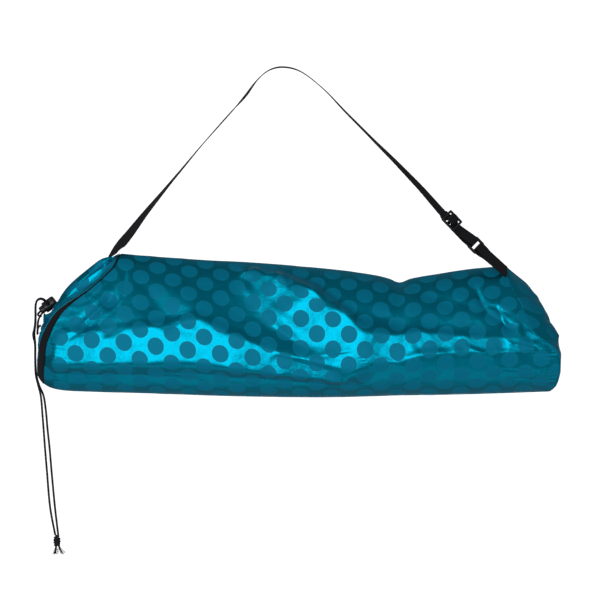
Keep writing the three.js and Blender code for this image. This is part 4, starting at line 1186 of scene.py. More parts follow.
class Cloth:
    """The dotted satin: the tube, the base panel and the gathered collar, with the ribbon between."""

    dot_place = (0.3454, 0.0775)
    row_slope = 0.07
    row_from = 0.33
    deepest_pleat = 0.007

    def __init__(self, surface: BagSurface, grid: ClothGrid) -> None:
        """Keeps the surface and how finely it is made."""
        self.surface = surface
        self.grid = grid

    def dot_phase(self) -> tuple[float, float]:
        """Finds the place on the cloth of a dot that shows in the middle of the front."""
        x, z = self.dot_place
        angles = np.linspace(math.pi / 2, math.pi, 400)
        heights = self.surface.loop_point(np.full(400, x), angles)[:, 2]
        angle = angles[np.argmin(np.abs(heights - z))]
        return x, float(self.surface.cloth_at(np.array(x), np.array(angle)))

    def places(self, x: np.ndarray, angle: np.ndarray) -> np.ndarray:
        """Gives places on the cloth, with the slight slope of the dots' rows towards the mouth."""
        around = self.surface.cloth_at(x, angle)
        return np.stack([x, around - self.row_slope * np.maximum(self.row_from - x, 0)], -1)

    def tube(self, finishes: Finishes) -> bpy.types.Object:
        """Makes the body."""
        grid, surface = self.grid, self.surface
        turn = 2 * math.pi
        rows = np.linspace(0, 1, grid.along)[:, None]
        columns = turn * np.linspace(0, 1, grid.around + 1)[None, :]
        along = rows - grid.finer_at_ends * np.sin(turn * rows) / turn
        angle = columns + grid.finer_in_front * (np.cos(columns) - 1)
        along, angle = np.broadcast_arrays(along, angle)
        points = surface.body(along, angle)
        points[:, -1] = points[:, 0]
        du = np.gradient(points, axis=0)
        wrapped = np.concatenate([points[:, -2:-1], points, points[:, 1:2]], axis=1)
        dv = wrapped[:, 2:] - wrapped[:, :-2]
        out = unit(np.cross(du, dv))
        inner = points - out * surface.size.wall
        flat = surface.smooth_body(along, angle)
        uv = self.places(flat[..., 0], angle)
        obj = shell("body_cloth", points[:, :-1], inner[:, :-1], uv, finishes.satin)
        return dress(obj, Slot.SATIN, "body_panel")

    def base(self, finishes: Finishes) -> bpy.types.Object:
        """Makes the base panel, with puckers round its seam and two soft folds."""
        grid, surface = self.grid, self.surface
        ring = np.linspace(1, 0, grid.panel_rings)[:, None]
        angle = np.linspace(0, 2 * math.pi, grid.around + 1)[None, :]
        ring, angle = np.broadcast_arrays(ring, angle)
        points = surface.base_panel(ring, angle)
        ripple = np.sin(49 * angle + 1.5 * np.sin(4 * angle)) + 0.5 * np.sin(83 * angle)
        near = np.exp(-(1 - ring) / 0.07) * smoothstep(1 - ring, 0, 0.03)
        y, z = points[..., 1], points[..., 2]
        folds = self.panel_folds(y, z) * smoothstep(1 - ring, 0, 0.2)
        wall = surface.size.wall
        lift = 0.0005 * ripple * near + folds
        outer = points + np.array([1.0, 0, 0]) * (wall + lift)[..., None]
        inner = points + np.array([1.0, 0, 0]) * lift[..., None]
        loops = np.concatenate([inner[::-1][1:, :-1], outer[:-1, :-1]])
        rows, columns = loops.shape[:2]
        faces, uv_faces = loop_faces(rows, columns, False)
        faces, uv_faces = faces.tolist(), uv_faces.tolist()
        vertices = np.vstack([loops.reshape(-1, 3), inner[-1, :1], outer[-1, :1]])
        place = np.concatenate([points[::-1][1:], points[:-1]])[..., 1:]
        middle = points[-1, 0, 1:]
        uv = np.vstack([place.reshape(-1, 2), middle[None], middle[None]])
        left, right = rows * columns, rows * columns + 1
        uv_left, uv_right = rows * (columns + 1), rows * (columns + 1) + 1
        last, uv_last = (rows - 1) * columns, (rows - 1) * (columns + 1)
        for j in range(columns):
            k = (j + 1) % columns
            faces.append([left, j, k])
            uv_faces.append([uv_left, j, j + 1])
            faces.append([last + j, right, last + k])
            uv_faces.append([uv_last + j, uv_right, uv_last + j + 1])
        obj = mesh_object("base_cloth", vertices + MOUTH_LOW, faces, finishes.satin, uv, uv_faces)
        return dress(obj, Slot.SATIN, "base_panel")

    @staticmethod
    def panel_folds(y: np.ndarray, z: np.ndarray) -> np.ndarray:
        """Gives the soft folds across the base panel."""
        rows = table(
            "y z to_y to_z width lift",
            (-0.05, 0.05, 0.05, 0.062, 0.006, 0.0016), (-0.05, 0.10, 0.02, 0.085, 0.005, -0.0024),
            (-0.035, 0.13, 0.03, 0.12, 0.005, 0.002), (-0.05, 0.03, 0.04, 0.025, 0.004, 0.0008),
            (-0.055, 0.085, -0.01, 0.12, 0.004, 0.0022), (-0.06, 0.075, 0.0, 0.075, 0.004, 0.002),
        )
        total = np.zeros(y.shape)
        for i, lift in enumerate(rows["lift"]):
            start = np.array([rows["y"][i], rows["z"][i]])
            run = np.array([rows["to_y"][i], rows["to_z"][i]]) - start
            length = float(np.hypot(*run))
            at = ((y - start[0]) * run[0] + (z - start[1]) * run[1]) / length
            aside = ((y - start[0]) * run[1] - (z - start[1]) * run[0]) / length / rows["width"][i]
            there = np.clip(1 - ((at - length / 2) / (0.62 * length)) ** 2, 0, 1)
            total += lift * there * np.exp(-np.abs(aside) ** 1.5)
        return total

    def ribbon(self, finishes: Finishes) -> bpy.types.Object:
        """Makes the ribbon ring, crowned between its two seams."""
        surface, size = self.surface, self.surface.size
        count = 480
        share = np.linspace(0, 1, 13)[:, None]
        angle = np.linspace(0, 2 * math.pi, count + 1)[None, :]
        share, angle = np.broadcast_arrays(share, angle)
        hidden = surface.ribbon_edge(angle)
        across = hidden + (1 - hidden) * share
        crown = 1 - (2 * share - 1) ** 4
        ripple = 0.35 * np.sin(41 * angle) * np.sin(math.pi * share) ** 2
        outer = surface.band(across, angle, size.band_proud * (crown + 0.4 * ripple))
        inner = surface.band(across, angle, np.full(angle.shape, -size.wall))
        around = along_grid(outer[6])
        uv = np.stack([np.broadcast_to(around, across.shape), size.band_width * across], -1)
        obj = shell("mouth_ribbon", outer[:, :-1], inner[:, :-1], uv, finishes.ribbon)
        return dress(obj, Slot.RIBBON, "mouth_band")

    def pleats(self, row: np.ndarray, angle: np.ndarray) -> np.ndarray:
        """Gives the uneven gathers of the collar, 1 on a ridge, with valleys of several depths."""
        size = self.surface.size
        phase = size.gathers * angle + 1.4 * np.sin(3 * angle + 1) + 0.8 * np.sin(7 * angle)
        thin = np.cos(2 * phase + 1.3 * np.sin(5 * angle) + 0.25 * row)
        sharp = 1 - 2 * np.abs(np.sin(phase / 2 + 0.12 * np.sin(row))) ** 0.7
        return sharp + 0.3 * thin * smoothstep(row, 1, 3) - 0.3

    def collar(self, finishes: Finishes) -> bpy.types.Object:
        """Makes the gathered collar and its frill."""
        grid, surface, size = self.grid, self.surface, self.surface.size
        row = np.linspace(8, 0, grid.collar_rows)[:, None]
        angle = np.linspace(0, 2 * math.pi, grid.collar_around + 1)[None, :]
        row, angle = np.broadcast_arrays(row, angle)
        pleat = np.minimum(self.pleats(row, angle), 1)
        deepest = self.deepest_pleat * smoothstep(row, 0, 1.2) * (1 - smoothstep(row, 5, 7.5))
        lift = size.gather_depth * surface.gather(row) * (0.5 + 0.5 * pleat) - deepest * (1 - pleat) / 2
        out = surface.collar_out(row, angle)
        base = surface.collar_inside(row, angle)
        outer = base + out * (size.wall + lift)[..., None]
        inner = outer - out * size.wall
        down = np.linalg.norm(np.diff(base, axis=0), axis=-1)
        along = np.concatenate([np.zeros((1, down.shape[1])), np.cumsum(down, axis=0)])
        along = along - along[-1:]
        seam_x = surface.mouth_x(angle[-1:])
        around = surface.cloth_at(seam_x, angle[-1:])
        uv = np.stack([seam_x + along, np.broadcast_to(around, along.shape)], -1)
        obj = shell("collar_cloth", outer[:, :-1], inner[:, :-1], uv, finishes.satin)
        return dress(obj, Slot.SATIN, "mouth_collar")

    def build(self, finishes: Finishes) -> None:
        """Makes the cloth: the ribbon, the tube, the collar and the base."""
        ribbon = self.ribbon(finishes)
        self.tube(finishes)
        self.collar(finishes)
        self.base(finishes)


def along_grid(loop: np.ndarray) -> np.ndarray:
    """Gives the distance along one row of a grid at each of its points."""
    return along_line(loop)[None, :]


@dataclass(frozen=True)
class StrapSize:
    """The webbing and its hardware, in metres, as in the part."""

    width: float = 0.020
    thickness: float = 0.0013
    rise: float = 0.240
    tab_length: float = 0.046
    webbing_gap: float = 0.0004
    slider_from_ring: float = 0.038
    bar_thickness: float = 0.0024
    bar_width: float = 0.003
    slider_slot: float = 0.0065
    ring_slot: float = 0.008
    seat_gap: float = 0.0003
    ring_turn: float = 38
    strap_lean: float = 45.8
    tab_lean: float = 40.5
    crown_along: float = 0.456
    foot_turn: float = 29.4
    free_steps: int = 44
    sewn_steps: int = 2


STRAP_ROUTE = table(
    "along rise turn",
    (0, 0, 44), (0.0135, 0.035, 42), (0.05, 0.121, 35), (0.1015, 0.249, 22), (0.157, 0.378, 11),
    (0.2125, 0.507, 6), (0.269, 0.635, 2), (0.329, 0.764, 1), (0.368, 0.85, 10),
    (0.402, 0.936, 4), (0.429, 0.981, 2), (0.456, 1, 0), (0.491, 0.997, 0), (0.524, 0.973, 2),
    (0.578, 0.893, 3), (0.643, 0.764, 7), (0.709, 0.635, 10), (0.7755, 0.507, 17),
    (0.84, 0.378, 24), (1, 0, 38),
)
THREADING = table("slot off", (-0.231, 1), (0.14, 1), (0.41, 0.63), (0.6, 0.05), (0.88, -1), (1.75, -1))
COMING_BACK = table(
    "clear off", (4.12, -1), (2.65, -1), (1.15, -1), (0.69, -0.91), (0.29, -0.41), (0.17, 0)
)
WRAPPING = table(
    "beside off",
    (1, 0.62), (0.78, 0.96), (0, 1), (-0.78, 0.96), (-1, 0.62), (-1, -0.62), (-0.78, -0.96),
    (0, -1), (0.43, -1),
)
TAB_LAYER = table(
    "along apart bend", (0.12, 0, 0.85), (0.3, 0, 0.35), (0.5, 1, 0), (0.75, 1, 0), (1, 1, 0)
)
BEND_DEGREES = (-105, -70, -35, 0, 35, 70, 105)


def leaning(degrees: float) -> np.ndarray:
    """Gives a direction down to the right by an angle."""
    angle = math.radians(degrees)
    return np.array([math.cos(angle), 0, -math.sin(angle)])


def across_at(tangent: np.ndarray, turn: np.ndarray) -> np.ndarray:
    """Gives the direction across a strap whose face turns to the front by an angle in degrees."""
    angle = np.radians(turn)[..., None]
    inner = np.stack([tangent[..., 2], 0 * tangent[..., 0], -tangent[..., 0]], -1)
    front = np.zeros_like(inner)
    front[..., 1] = -1
    return unit(inner * np.sin(angle) + front * np.cos(angle))


class Strap:
    """The shoulder strap, its tab, the slider and the ring."""

    def __init__(self, surface: BagSurface, size: StrapSize) -> None:
        """Works out where the strap and its hardware are.

        Args:
            surface: The cloth that the strap is sewn to.
            size: The sizes of the webbing and hardware.
        """
        self.size = size
        up, below = self._on_collar(surface, 0.3), self._on_collar(surface, 0.7)
        self.foot = self._on_collar(surface, 0.5) + np.array([0, 0, 3 * size.thickness])
        turn = math.radians(size.foot_turn)
        self.foot_across = unit(up - below) * math.cos(turn) + np.array([0, -math.sin(turn), 0])
        tab_angle = np.array(math.pi - 0.41)

        def tab_surface(behind: np.ndarray, at: np.ndarray) -> np.ndarray:
            return surface.loop_point(surface.base_x(at) + behind, at)

        seat = tab_surface(np.array(-size.thickness), tab_angle)
        seat_out = normals(tab_surface, np.array(-size.thickness), tab_angle, 0.0005)
        self.tab_seat = seat + seat_out * (size.seat_gap + size.thickness + size.webbing_gap / 2)
        self.tab_across = unit(np.array([-0.1, -0.75, -0.65]))
        self.down, self.tab_down = leaning(size.strap_lean), leaning(size.tab_lean)
        self.across = across_at(self.down, np.array(size.ring_turn))
        self.face = np.cross(self.across, self.down)
        self.lower_bar = self.tab_seat - self.tab_down * size.tab_length
        self.upper_bar = self.lower_bar - self.down * (size.ring_slot + size.bar_width)

    @staticmethod
    def _on_collar(surface: BagSurface, row: float) -> np.ndarray:
        return surface.collar_outside(np.array(row), np.array(math.pi), np.array(1.0))

    def strap_line(self) -> tuple[np.ndarray, np.ndarray]:
        """Lays the strap from its foot over the crown, through the slider and round the ring.

        Returns:
            Its centreline, and the directions across it.
        """
        size = self.size
        half = size.thickness / 2
        against = size.bar_thickness / 2 + size.webbing_gap + half
        outside = against + size.thickness + size.webbing_gap
        bend = size.bar_width * math.sqrt(0.5) + size.webbing_gap + half
        edge = size.bar_width / 2

        def local(along: float, off: float) -> np.ndarray:
            return self.upper_bar + self.down * along + self.face * off

        def threaded(side: int) -> list[np.ndarray]:
            return [
                local(-size.slider_from_ring + side * (edge + slot * size.slider_slot),
                      off * (outside if off > 0 else against))
                for slot, off in zip(THREADING["slot"], THREADING["off"])
            ]

        into, out_of = threaded(-1)[::-1], threaded(1)[1:]
        round_ring = [
            local(bend * math.cos(math.radians(a)), -bend * math.sin(math.radians(a))) for a in BEND_DEGREES
        ]
        back = [
            local(-size.slider_from_ring + edge + clear * size.slider_slot, off * outside)
            for clear, off in zip(COMING_BACK["clear"], COMING_BACK["off"])
        ]
        beside = edge + size.webbing_gap + half
        wrap = [
            local(-size.slider_from_ring + b * beside, off * against)
            for b, off in zip(WRAPPING["beside"], WRAPPING["off"])
        ]
        ring_middle = (self.lower_bar + self.upper_bar) / 2
        span = ring_middle[0] - self.foot[0]
        along, rise = STRAP_ROUTE["along"][:-1], STRAP_ROUTE["rise"][:-1]
        forward = np.maximum(0, (along - size.crown_along) / (1 - size.crown_along)) * self.upper_bar[1]
        route = np.stack([self.foot[0] + along * span, forward, self.foot[2] + rise * size.rise], -1)
        curve = centripetal(np.vstack([route, into[0]]), 60)
        free = even(curve, 331)[:-1]
        tangent = unit(np.gradient(free, axis=0))
        turn = through(STRAP_ROUTE, "along", "turn")((free[:, 0] - self.foot[0]) / span)
        across = across_at(tangent, turn)
        steps = np.linspace(0, size.free_steps, len(free))
        sewn = (1 - smoothstep(steps, 0, size.sewn_steps))[:, None]
        across = unit(across * (1 - sewn) + self.foot_across * sewn)
        threads = centripetal(np.array([*into, *out_of, *round_ring, *back, *wrap]), 5)
        line = np.vstack([free, threads])
        return line, np.vstack([across, np.tile(self.across, (len(threads), 1))])

    def tab_line(self) -> tuple[np.ndarray, np.ndarray]:
        """Lays the doubled tab from the seam round the ring's lower bar and back."""
        size = self.size
        apart = (size.thickness + size.webbing_gap) / 2
        bend = size.bar_width * math.sqrt(0.5) + size.webbing_gap + size.thickness / 2

        def across_of(along: np.ndarray) -> np.ndarray:
            twist = smoothstep(along, 0.25, 1)[..., None]
            return unit(self.across * (1 - twist) + self.tab_across * twist)

        layer = through(TAB_LAYER, "along", "apart"), through(TAB_LAYER, "along", "bend")
        share = np.linspace(1, 0.12, 26)
        off = layer[0](share) * apart + layer[1](share) * bend
        angles = np.radians(np.linspace(BEND_DEGREES[0], BEND_DEGREES[-1], 21)) + math.pi
        along = np.concatenate([share, bend * np.cos(angles) / size.tab_length, share[::-1]])
        off = np.concatenate([off, bend * np.sin(angles), -off[::-1]])
        across = across_of(along)
        face = unit(np.cross(across, self.tab_down))
        return self.lower_bar + self.tab_down * (along * size.tab_length)[:, None] + face * off[:, None], across

    def webbing(self, name: str, line: np.ndarray, across: np.ndarray, finishes: Finishes) -> bpy.types.Object:
        """Sweeps the webbing's rounded section along a line.

        Args:
            name: The object's name.
            line: The centreline, before it is placed in the frame.
            across: The directions across.
            finishes: The materials.

        Returns:
            The new object.
        """
        size = self.size
        tangent = np.gradient(line, axis=0)
        face = unit(np.cross(across, tangent))
        place = np.concatenate([np.linspace(-1, 1, 15)[:-1], np.linspace(1, -1, 15)[:-1]])
        over = np.concatenate([np.ones(14), -np.ones(14)])
        shape = over * np.clip(1 - np.abs(place) ** 10, 0, 1) ** 0.5
        at = along_line(line)
        fray = 1 + 0.012 * np.sin(at / 0.0011)[:, None]
        wave = 0.00008 * np.sin(at / 0.009 + 1)[:, None]
        rings = (
            line[:, None]
            + across[:, None] * (place * size.width / 2 * fray)[..., None]
            + face[:, None] * (shape * size.thickness / 2 + wave)[..., None]
        )
        rows, columns = rings.shape[:2]
        faces, uv_faces = loop_faces(rows, columns, False)
        faces = faces[:, ::-1].tolist()
        uv_faces = uv_faces[:, ::-1].tolist()
        width = np.append(place, place[0]) * size.width / 2
        uv = np.stack(np.broadcast_arrays(at[:, None], width[None, :]), -1).reshape(-1, 2)
        last, uv_last = (rows - 1) * columns, (rows - 1) * (columns + 1)
        faces.append(list(range(columns)))
        uv_faces.append(list(range(columns)))
        faces.append([last + j for j in reversed(range(columns))])
        uv_faces.append([uv_last + j for j in reversed(range(columns))])
        return mesh_object(name, rings.reshape(-1, 3) + MOUTH_LOW, faces, finishes.webbing, uv, uv_faces)

    def moulded(self, node: bpy.types.Object, name: str, bevel: float, finishes: Finishes) -> bpy.types.Object:
        """Copies a moulded CAD piece and rounds its edges.

        Args:
            node: The CAD piece.
            name: The name of the copy.
            bevel: How far its edges are rounded.
            finishes: The materials.

        Returns:
            The rounded copy.
        """
        mesh = node.data.copy()
        work = bmesh.new()
        work.from_mesh(mesh)
        bmesh.ops.remove_doubles(work, verts=work.verts, dist=1e-6)
        bmesh.ops.dissolve_limit(work, angle_limit=math.radians(2), verts=work.verts, edges=work.edges)
        sharp = [e for e in work.edges if e.is_manifold and e.calc_face_angle(0) > math.radians(28)]
        bmesh.ops.bevel(work, geom=sharp, offset=bevel, segments=4, profile=0.5, affect="EDGES", clamp_overlap=True)
        bmesh.ops.triangulate(work, faces=[f for f in work.faces if len(f.verts) > 4])
        bmesh.ops.recalc_face_normals(work, faces=work.faces)
        work.to_mesh(mesh)
        work.free()
        mesh.materials.clear()
        mesh.materials.append(finishes.hardware)
        shade_by_angle(mesh)
        obj = bpy.data.objects.new(name, mesh)
        bpy.context.scene.collection.objects.link(obj)
        return obj

    def build(self, frame: dict, finishes: Finishes) -> None:
        """Makes the strap, the tab, the ring and the slider."""
        line, across = self.strap_line()
        LOG.info("the strap is %.3f m long", along_line(line)[-1])
        dress(self.webbing("webbing_strap", line, across, finishes), Slot.WEBBING, "shoulder_strap")
        tab, tab_across = self.tab_line()
        dress(self.webbing("webbing_tab", tab, tab_across, finishes), Slot.WEBBING, "strap_tab")
        nodes = frame["nodes"]
        dress(self.moulded(nodes["strap_ring"], "ring_moulded", 0.0007, finishes), Slot.HARDWARE, "strap_ring")
        dress(self.moulded(nodes["strap_slider"], "slider_moulded", 0.0006, finishes), Slot.HARDWARE, "strap_slider")


def shade_by_angle(mesh: bpy.types.Mesh, degrees: float = 35) -> None:
    """Shades a mesh smooth except over its sharp edges."""
    mesh.polygons.foreach_set("use_smooth", np.ones(len(mesh.polygons), bool))
    mesh.set_sharp_from_angle(angle=math.radians(degrees))


@dataclass(frozen=True)
class LockSize:
    """The cord lock, in metres, as in the part."""

    cord: float = 0.0028
    clearance: float = 0.0005
    length: float = 0.0175
    diameter: float = 0.0145
    wall: float = 0.002
    end_wall: float = 0.0025
    stick_out: float = 0.0065
    travel: float = 0.004
    button_clearance: float = 0.0003
    web: float = 0.0015
    hole_from_end: float = 0.010
    from_hole: tuple[float, float, float] = (0.0066, 0.0074, 0.020)
    axis: tuple[float, float, float] = (-0.8, 0, -0.6)
    cords: tuple[float, float, float] = (-0.243, -0.917, 0.324)


class CordLock:
    """The barrel and the sprung button of the cord lock."""

    def __init__(self, size: LockSize) -> None:
        """Works out where the lock is."""
        self.size = size
        along = Vector(size.axis).normalized()
        cords = Vector(size.cords).normalized()
        third = along.cross(cords)
        origin = Vector(HOLE) + Vector(size.from_hole)
        self.place = Matrix.Translation(origin) @ Matrix((along, cords, third)).transposed().to_4x4()
        self.half_hole = size.cord / 2 + size.clearance

    def turned(self, name: str, profile: Sequence[tuple[float, float]], material: bpy.types.Material) -> bpy.types.Object:
        """Turns a profile of radius and place along the lock's axis."""
        segments = 72
        work = bmesh.new()
        rings = []
        for radius, along in profile:
            if radius < 1e-7:
                rings.append([work.verts.new((along, 0, 0))])
                continue
            angles = [2 * math.pi * i / segments for i in range(segments)]
            rings.append([work.verts.new((along, radius * math.cos(a), radius * math.sin(a))) for a in angles])
        for one, other in zip(rings, rings[1:]):
            for i in range(segments):
                k = (i + 1) % segments
                corners = [one[i % len(one)], other[i % len(other)], other[k % len(other)], one[k % len(one)]]
                unique = list(dict.fromkeys(corners))
                if len(unique) > 2:
                    work.faces.new(unique)
        bmesh.ops.recalc_face_normals(work, faces=work.faces)
        mesh = bpy.data.meshes.new(name)
        work.to_mesh(mesh)
        work.free()
        mesh.materials.append(material)
        obj = bpy.data.objects.new(name, mesh)
        bpy.context.scene.collection.objects.link(obj)
        return obj

    def cut_slot(self, obj: bpy.types.Object, low: float, high: float) -> None:
        """Cuts the rounded slot for the cords through a turned piece, and rounds its rim."""
        half_width = self.size.cord + 2 * self.size.clearance
        reach = 2 * self.size.diameter
        corner = 0.0012
        outline = []
        for cx, cz, start in ((high - corner, half_width - corner, 0), (low + corner, half_width - corner, 90),
                              (low + corner, -half_width + corner, 180), (high - corner, -half_width + corner, 270)):
            for step in range(5):
                angle = math.radians(start + 22.5 * step)
                outline.append((cx + corner * math.cos(angle), cz + corner * math.sin(angle)))
        count = len(outline)
        vertices = [(x, -reach, z) for x, z in outline] + [(x, reach, z) for x, z in outline]
        faces = [[i, (i + 1) % count, count + (i + 1) % count, count + i] for i in range(count)]
        faces += [list(reversed(range(count))), [count + i for i in range(count)]]
        cutter_mesh = bpy.data.meshes.new("slot_cutter")
        cutter_mesh.from_pydata(vertices, [], faces)
        work = bmesh.new()
        work.from_mesh(cutter_mesh)
        bmesh.ops.recalc_face_normals(work, faces=work.faces)
        work.to_mesh(cutter_mesh)
        work.free()
        cutter = bpy.data.objects.new("slot_cutter", cutter_mesh)
        bpy.context.scene.collection.objects.link(cutter)
        cut = obj.modifiers.new("slot", "BOOLEAN")
        cut.object, cut.operation, cut.solver = cutter, "DIFFERENCE", "EXACT"
        edge = obj.modifiers.new("edge", "BEVEL")
        edge.width, edge.segments, edge.limit_method, edge.angle_limit = 0.00025, 2, "ANGLE", math.radians(50)
        apply_modifiers(obj)
        bpy.data.objects.remove(cutter)

    def build(self, finishes: Finishes) -> None:
        """Makes the barrel and the button."""
        size = self.size
        radius, bore = size.diameter / 2, size.diameter / 2 - size.wall
        low, high = -size.hole_from_end, size.length - size.hole_from_end
        end = [(radius * (0.62 + 0.38 * math.sin(a)), low + radius * (0.45 - 0.45 * math.cos(a)))
               for a in (0, 0.3, 0.6, 0.9, 1.2, math.pi / 2)]
        lip = [(radius, high - 0.2 * radius), (0.985 * radius, high - 0.08 * radius), (0.94 * radius, high),
               (bore + 0.0003, high), (bore, high - 0.0003)]
        profile = [(0, low), *end, *lip, (bore, low + size.end_wall), (0, low + size.end_wall)]
        barrel = self.turned("lock_barrel_moulded", profile, finishes.lock)
        self.cut_slot(barrel, -self.half_hole, self.half_hole)
        back, tip = -self.half_hole - size.web, high + size.stick_out
        inner = bore - size.button_clearance
        crown = [(inner * (0.45 + 0.55 * math.cos(a)), tip - 0.35 * inner * (1 - math.sin(a)))
                 for a in np.linspace(0, math.pi / 2, 7)]
        button = self.turned("lock_button_moulded", [(0, back), (inner - 0.0003, back), (inner, back + 0.0003),
                                                     *crown, (0, tip)], finishes.lock)
        self.cut_slot(button, -self.half_hole, self.half_hole + size.travel)
        for obj in (barrel, button):
            obj.data.transform(self.place)
            shade_by_angle(obj.data)
        dress(barrel, Slot.LOCK, "lock_barrel")
        dress(button, Slot.LOCK, "lock_button", body=BodyName.BUTTON)


def apply_modifiers(obj: bpy.types.Object) -> None:
    """Keeps what an object's modifiers make, and removes them."""
    graph = bpy.context.evaluated_depsgraph_get()
    graph.update()
    mesh = bpy.data.meshes.new_from_object(obj.evaluated_get(graph))
    obj.modifiers.clear()
    obj.data = mesh


class StitchTree:
    """The Geometry Nodes tree that lays stitches along a line."""

    def __init__(self) -> None:
        """Builds the tree."""
        tree = bpy.data.node_groups.new("stitches", "GeometryNodeTree")
        inputs = (("Line", "NodeSocketGeometry", None), ("Pitch", "NodeSocketFloat", 0.0025),
                  ("Length", "NodeSocketFloat", 0.0018), ("Thickness", "NodeSocketFloat", 0.0004),
                  ("Seed", "NodeSocketInt", 3), ("Thread", "NodeSocketMaterial", None))
        for name, kind, value in inputs:
            socket = tree.interface.new_socket(name, in_out="INPUT", socket_type=kind)
            if value is not None:
                socket.default_value = value
        tree.interface.new_socket("Stitches", in_out="OUTPUT", socket_type="NodeSocketGeometry")
        self.tree = tree
        given = tree.nodes.new("NodeGroupInput").outputs
        result = tree.nodes.new("NodeGroupOutput")
        line = self._node("GeometryNodeMeshToCurve", {}, Mesh=given["Line"])
        spaced = self._node("GeometryNodeResampleCurve", {"mode": "LENGTH"}, Curve=line.outputs[0], Length=given["Pitch"])
        ball = self._node("GeometryNodeMeshUVSphere", {}, Segments=6, Rings=5, Radius=0.5)
        size = self._node("ShaderNodeCombineXYZ", {}, X=given["Thickness"], Y=given["Thickness"], Z=given["Length"])
        stitch = self._node("GeometryNodeTransform", {}, Geometry=ball.outputs["Mesh"], Scale=size.outputs[0])
        tangent = self._node("GeometryNodeInputTangent", {})
        turn = self._node("FunctionNodeAlignRotationToVector", {"axis": "Z"}, Vector=tangent.outputs[0])
        vary = self._node("FunctionNodeRandomValue", {"data_type": "FLOAT"})
        vary.inputs["Min"].default_value, vary.inputs["Max"].default_value = 0.9, 1.08
        tree.links.new(given["Seed"], vary.inputs["Seed"])
        laid = self._node("GeometryNodeInstanceOnPoints", {}, Points=spaced.outputs[0], Instance=stitch.outputs[0],
                          Rotation=turn.outputs[0])
        number = next(socket for socket in vary.outputs if socket.enabled)
        tree.links.new(number, laid.inputs["Scale"])
        real = self._node("GeometryNodeRealizeInstances", {}, Geometry=laid.outputs[0])
        finished = self._node("GeometryNodeSetMaterial", {}, Geometry=real.outputs[0], Material=given["Thread"])
        tree.links.new(finished.outputs[0], result.inputs[0])

    def _node(self, kind: str, settings: dict, **inputs):
        node = self.tree.nodes.new(kind)
        for key, value in settings.items():
            setattr(node, key, value)
        for key, value in inputs.items():
            if isinstance(value, bpy.types.NodeSocket):
                self.tree.links.new(value, node.inputs[key])
            else:
                node.inputs[key].default_value = value
        return node

    def run(self, name: str, lines: Sequence[np.ndarray], thread: bpy.types.Material, **sizes: float) -> bpy.types.Object:
        """Lays stitches along lines.

        Args:
            name: The object's name.
            lines: The lines, in the part's frame.
            thread: The thread's material.
            sizes: Values of the tree's inputs, by name.

        Returns:
            The new object.
        """
        vertices = np.vstack(lines)
        edges, start = [], 0
        for line in lines:
            edges += [(start + i, start + i + 1) for i in range(len(line) - 1)]
            start += len(line)
        mesh = bpy.data.meshes.new(name)
        mesh.from_pydata(vertices.tolist(), edges, [])
        obj = bpy.data.objects.new(name, mesh)
        bpy.context.scene.collection.objects.link(obj)
        modifier = obj.modifiers.new("stitches", "NODES")
        modifier.node_group = self.tree
        for item in self.tree.interface.items_tree:
            if item.in_out == "INPUT" and item.name in sizes:
                modifier[item.identifier] = sizes[item.name]
            if item.in_out == "INPUT" and item.name == "Thread":
                modifier[item.identifier] = thread
        apply_modifiers(obj)
        obj.data.polygons.foreach_set("use_smooth", np.ones(len(obj.data.polygons), bool))
        return obj


class Stitching:
    """The sewn lines: beside the ribbon, round the base seam and across the webbing's ends."""

    def __init__(self, surface: BagSurface, strap: Strap) -> None:
        """Keeps what is sewn."""
        self.surface = surface
        self.strap = strap
        self.tree = StitchTree()

    def _placed(self, points: np.ndarray) -> np.ndarray:
        """Places points of the bag in the part's frame."""
        return points + MOUTH_LOW

    def build(self, finishes: Finishes) -> None:
        """Lays all the stitches."""
        surface = self.surface
        angle = np.linspace(0, 2 * math.pi, 500)
        ends = []
        hidden = surface.ribbon_edge(angle)
        for share in (0.14, 0.86):
            out = np.full(angle.shape, surface.size.band_proud * 1.02)
            ends.append(self._placed(surface.band(hidden + (1 - hidden) * share, angle, out)))
        ribbon = self.tree.run("ribbon_stitches", ends, finishes.thread, Pitch=0.0026, Length=0.0019,
                               Thickness=0.00035)
        dress(ribbon, Slot.RIBBON)
        span = surface.size.length
        along = np.full(angle.shape, 1 - 0.0035 / span)
        seam = surface.body(along, angle) + normals(surface.smooth_body, along, angle) * 0.00012
        base = self.tree.run("base_seam_stitches", [self._placed(seam)], finishes.satin_thread, Pitch=0.0029,
                             Length=0.002, Thickness=0.00026)
        dress(base, Slot.SATIN)
        webbing = self.tree.run("webbing_stitches", self.webbing_lines(), finishes.thread, Pitch=0.0024,
                                Length=0.0019, Thickness=0.0005)
        dress(webbing, Slot.WEBBING)

    def webbing_lines(self) -> list[np.ndarray]:
        """Draws the sewn rows across the tab, near the ring and at its seam, and across the foot."""
        size = self.strap.size
        lines = []
        tab, tab_across = self.strap.tab_line()
        at = along_line(tab)
        for share in (0.035, 0.075, 0.3):
            i = int(np.searchsorted(at, share * at[-1]))
            face = unit(np.cross(tab_across[i], tab[i + 1] - tab[i - 1] if i else tab[1] - tab[0]))
            lines.append(self._across(tab[i], tab_across[i], face, size))
        line, across = self.strap.strap_line()
        for i in (3, 6):
            face = unit(np.cross(across[i], line[i + 1] - line[i - 1]))
            lines.append(self._across(line[i], across[i], face, size))
        return lines

    @staticmethod
    def _across(centre: np.ndarray, across: np.ndarray, face: np.ndarray, size: StrapSize) -> np.ndarray:
        reach = np.linspace(-0.43, 0.43, 12)[:, None] * size.width
        return MOUTH_LOW + centre + across * reach + face * (size.thickness / 2 + 0.00005)


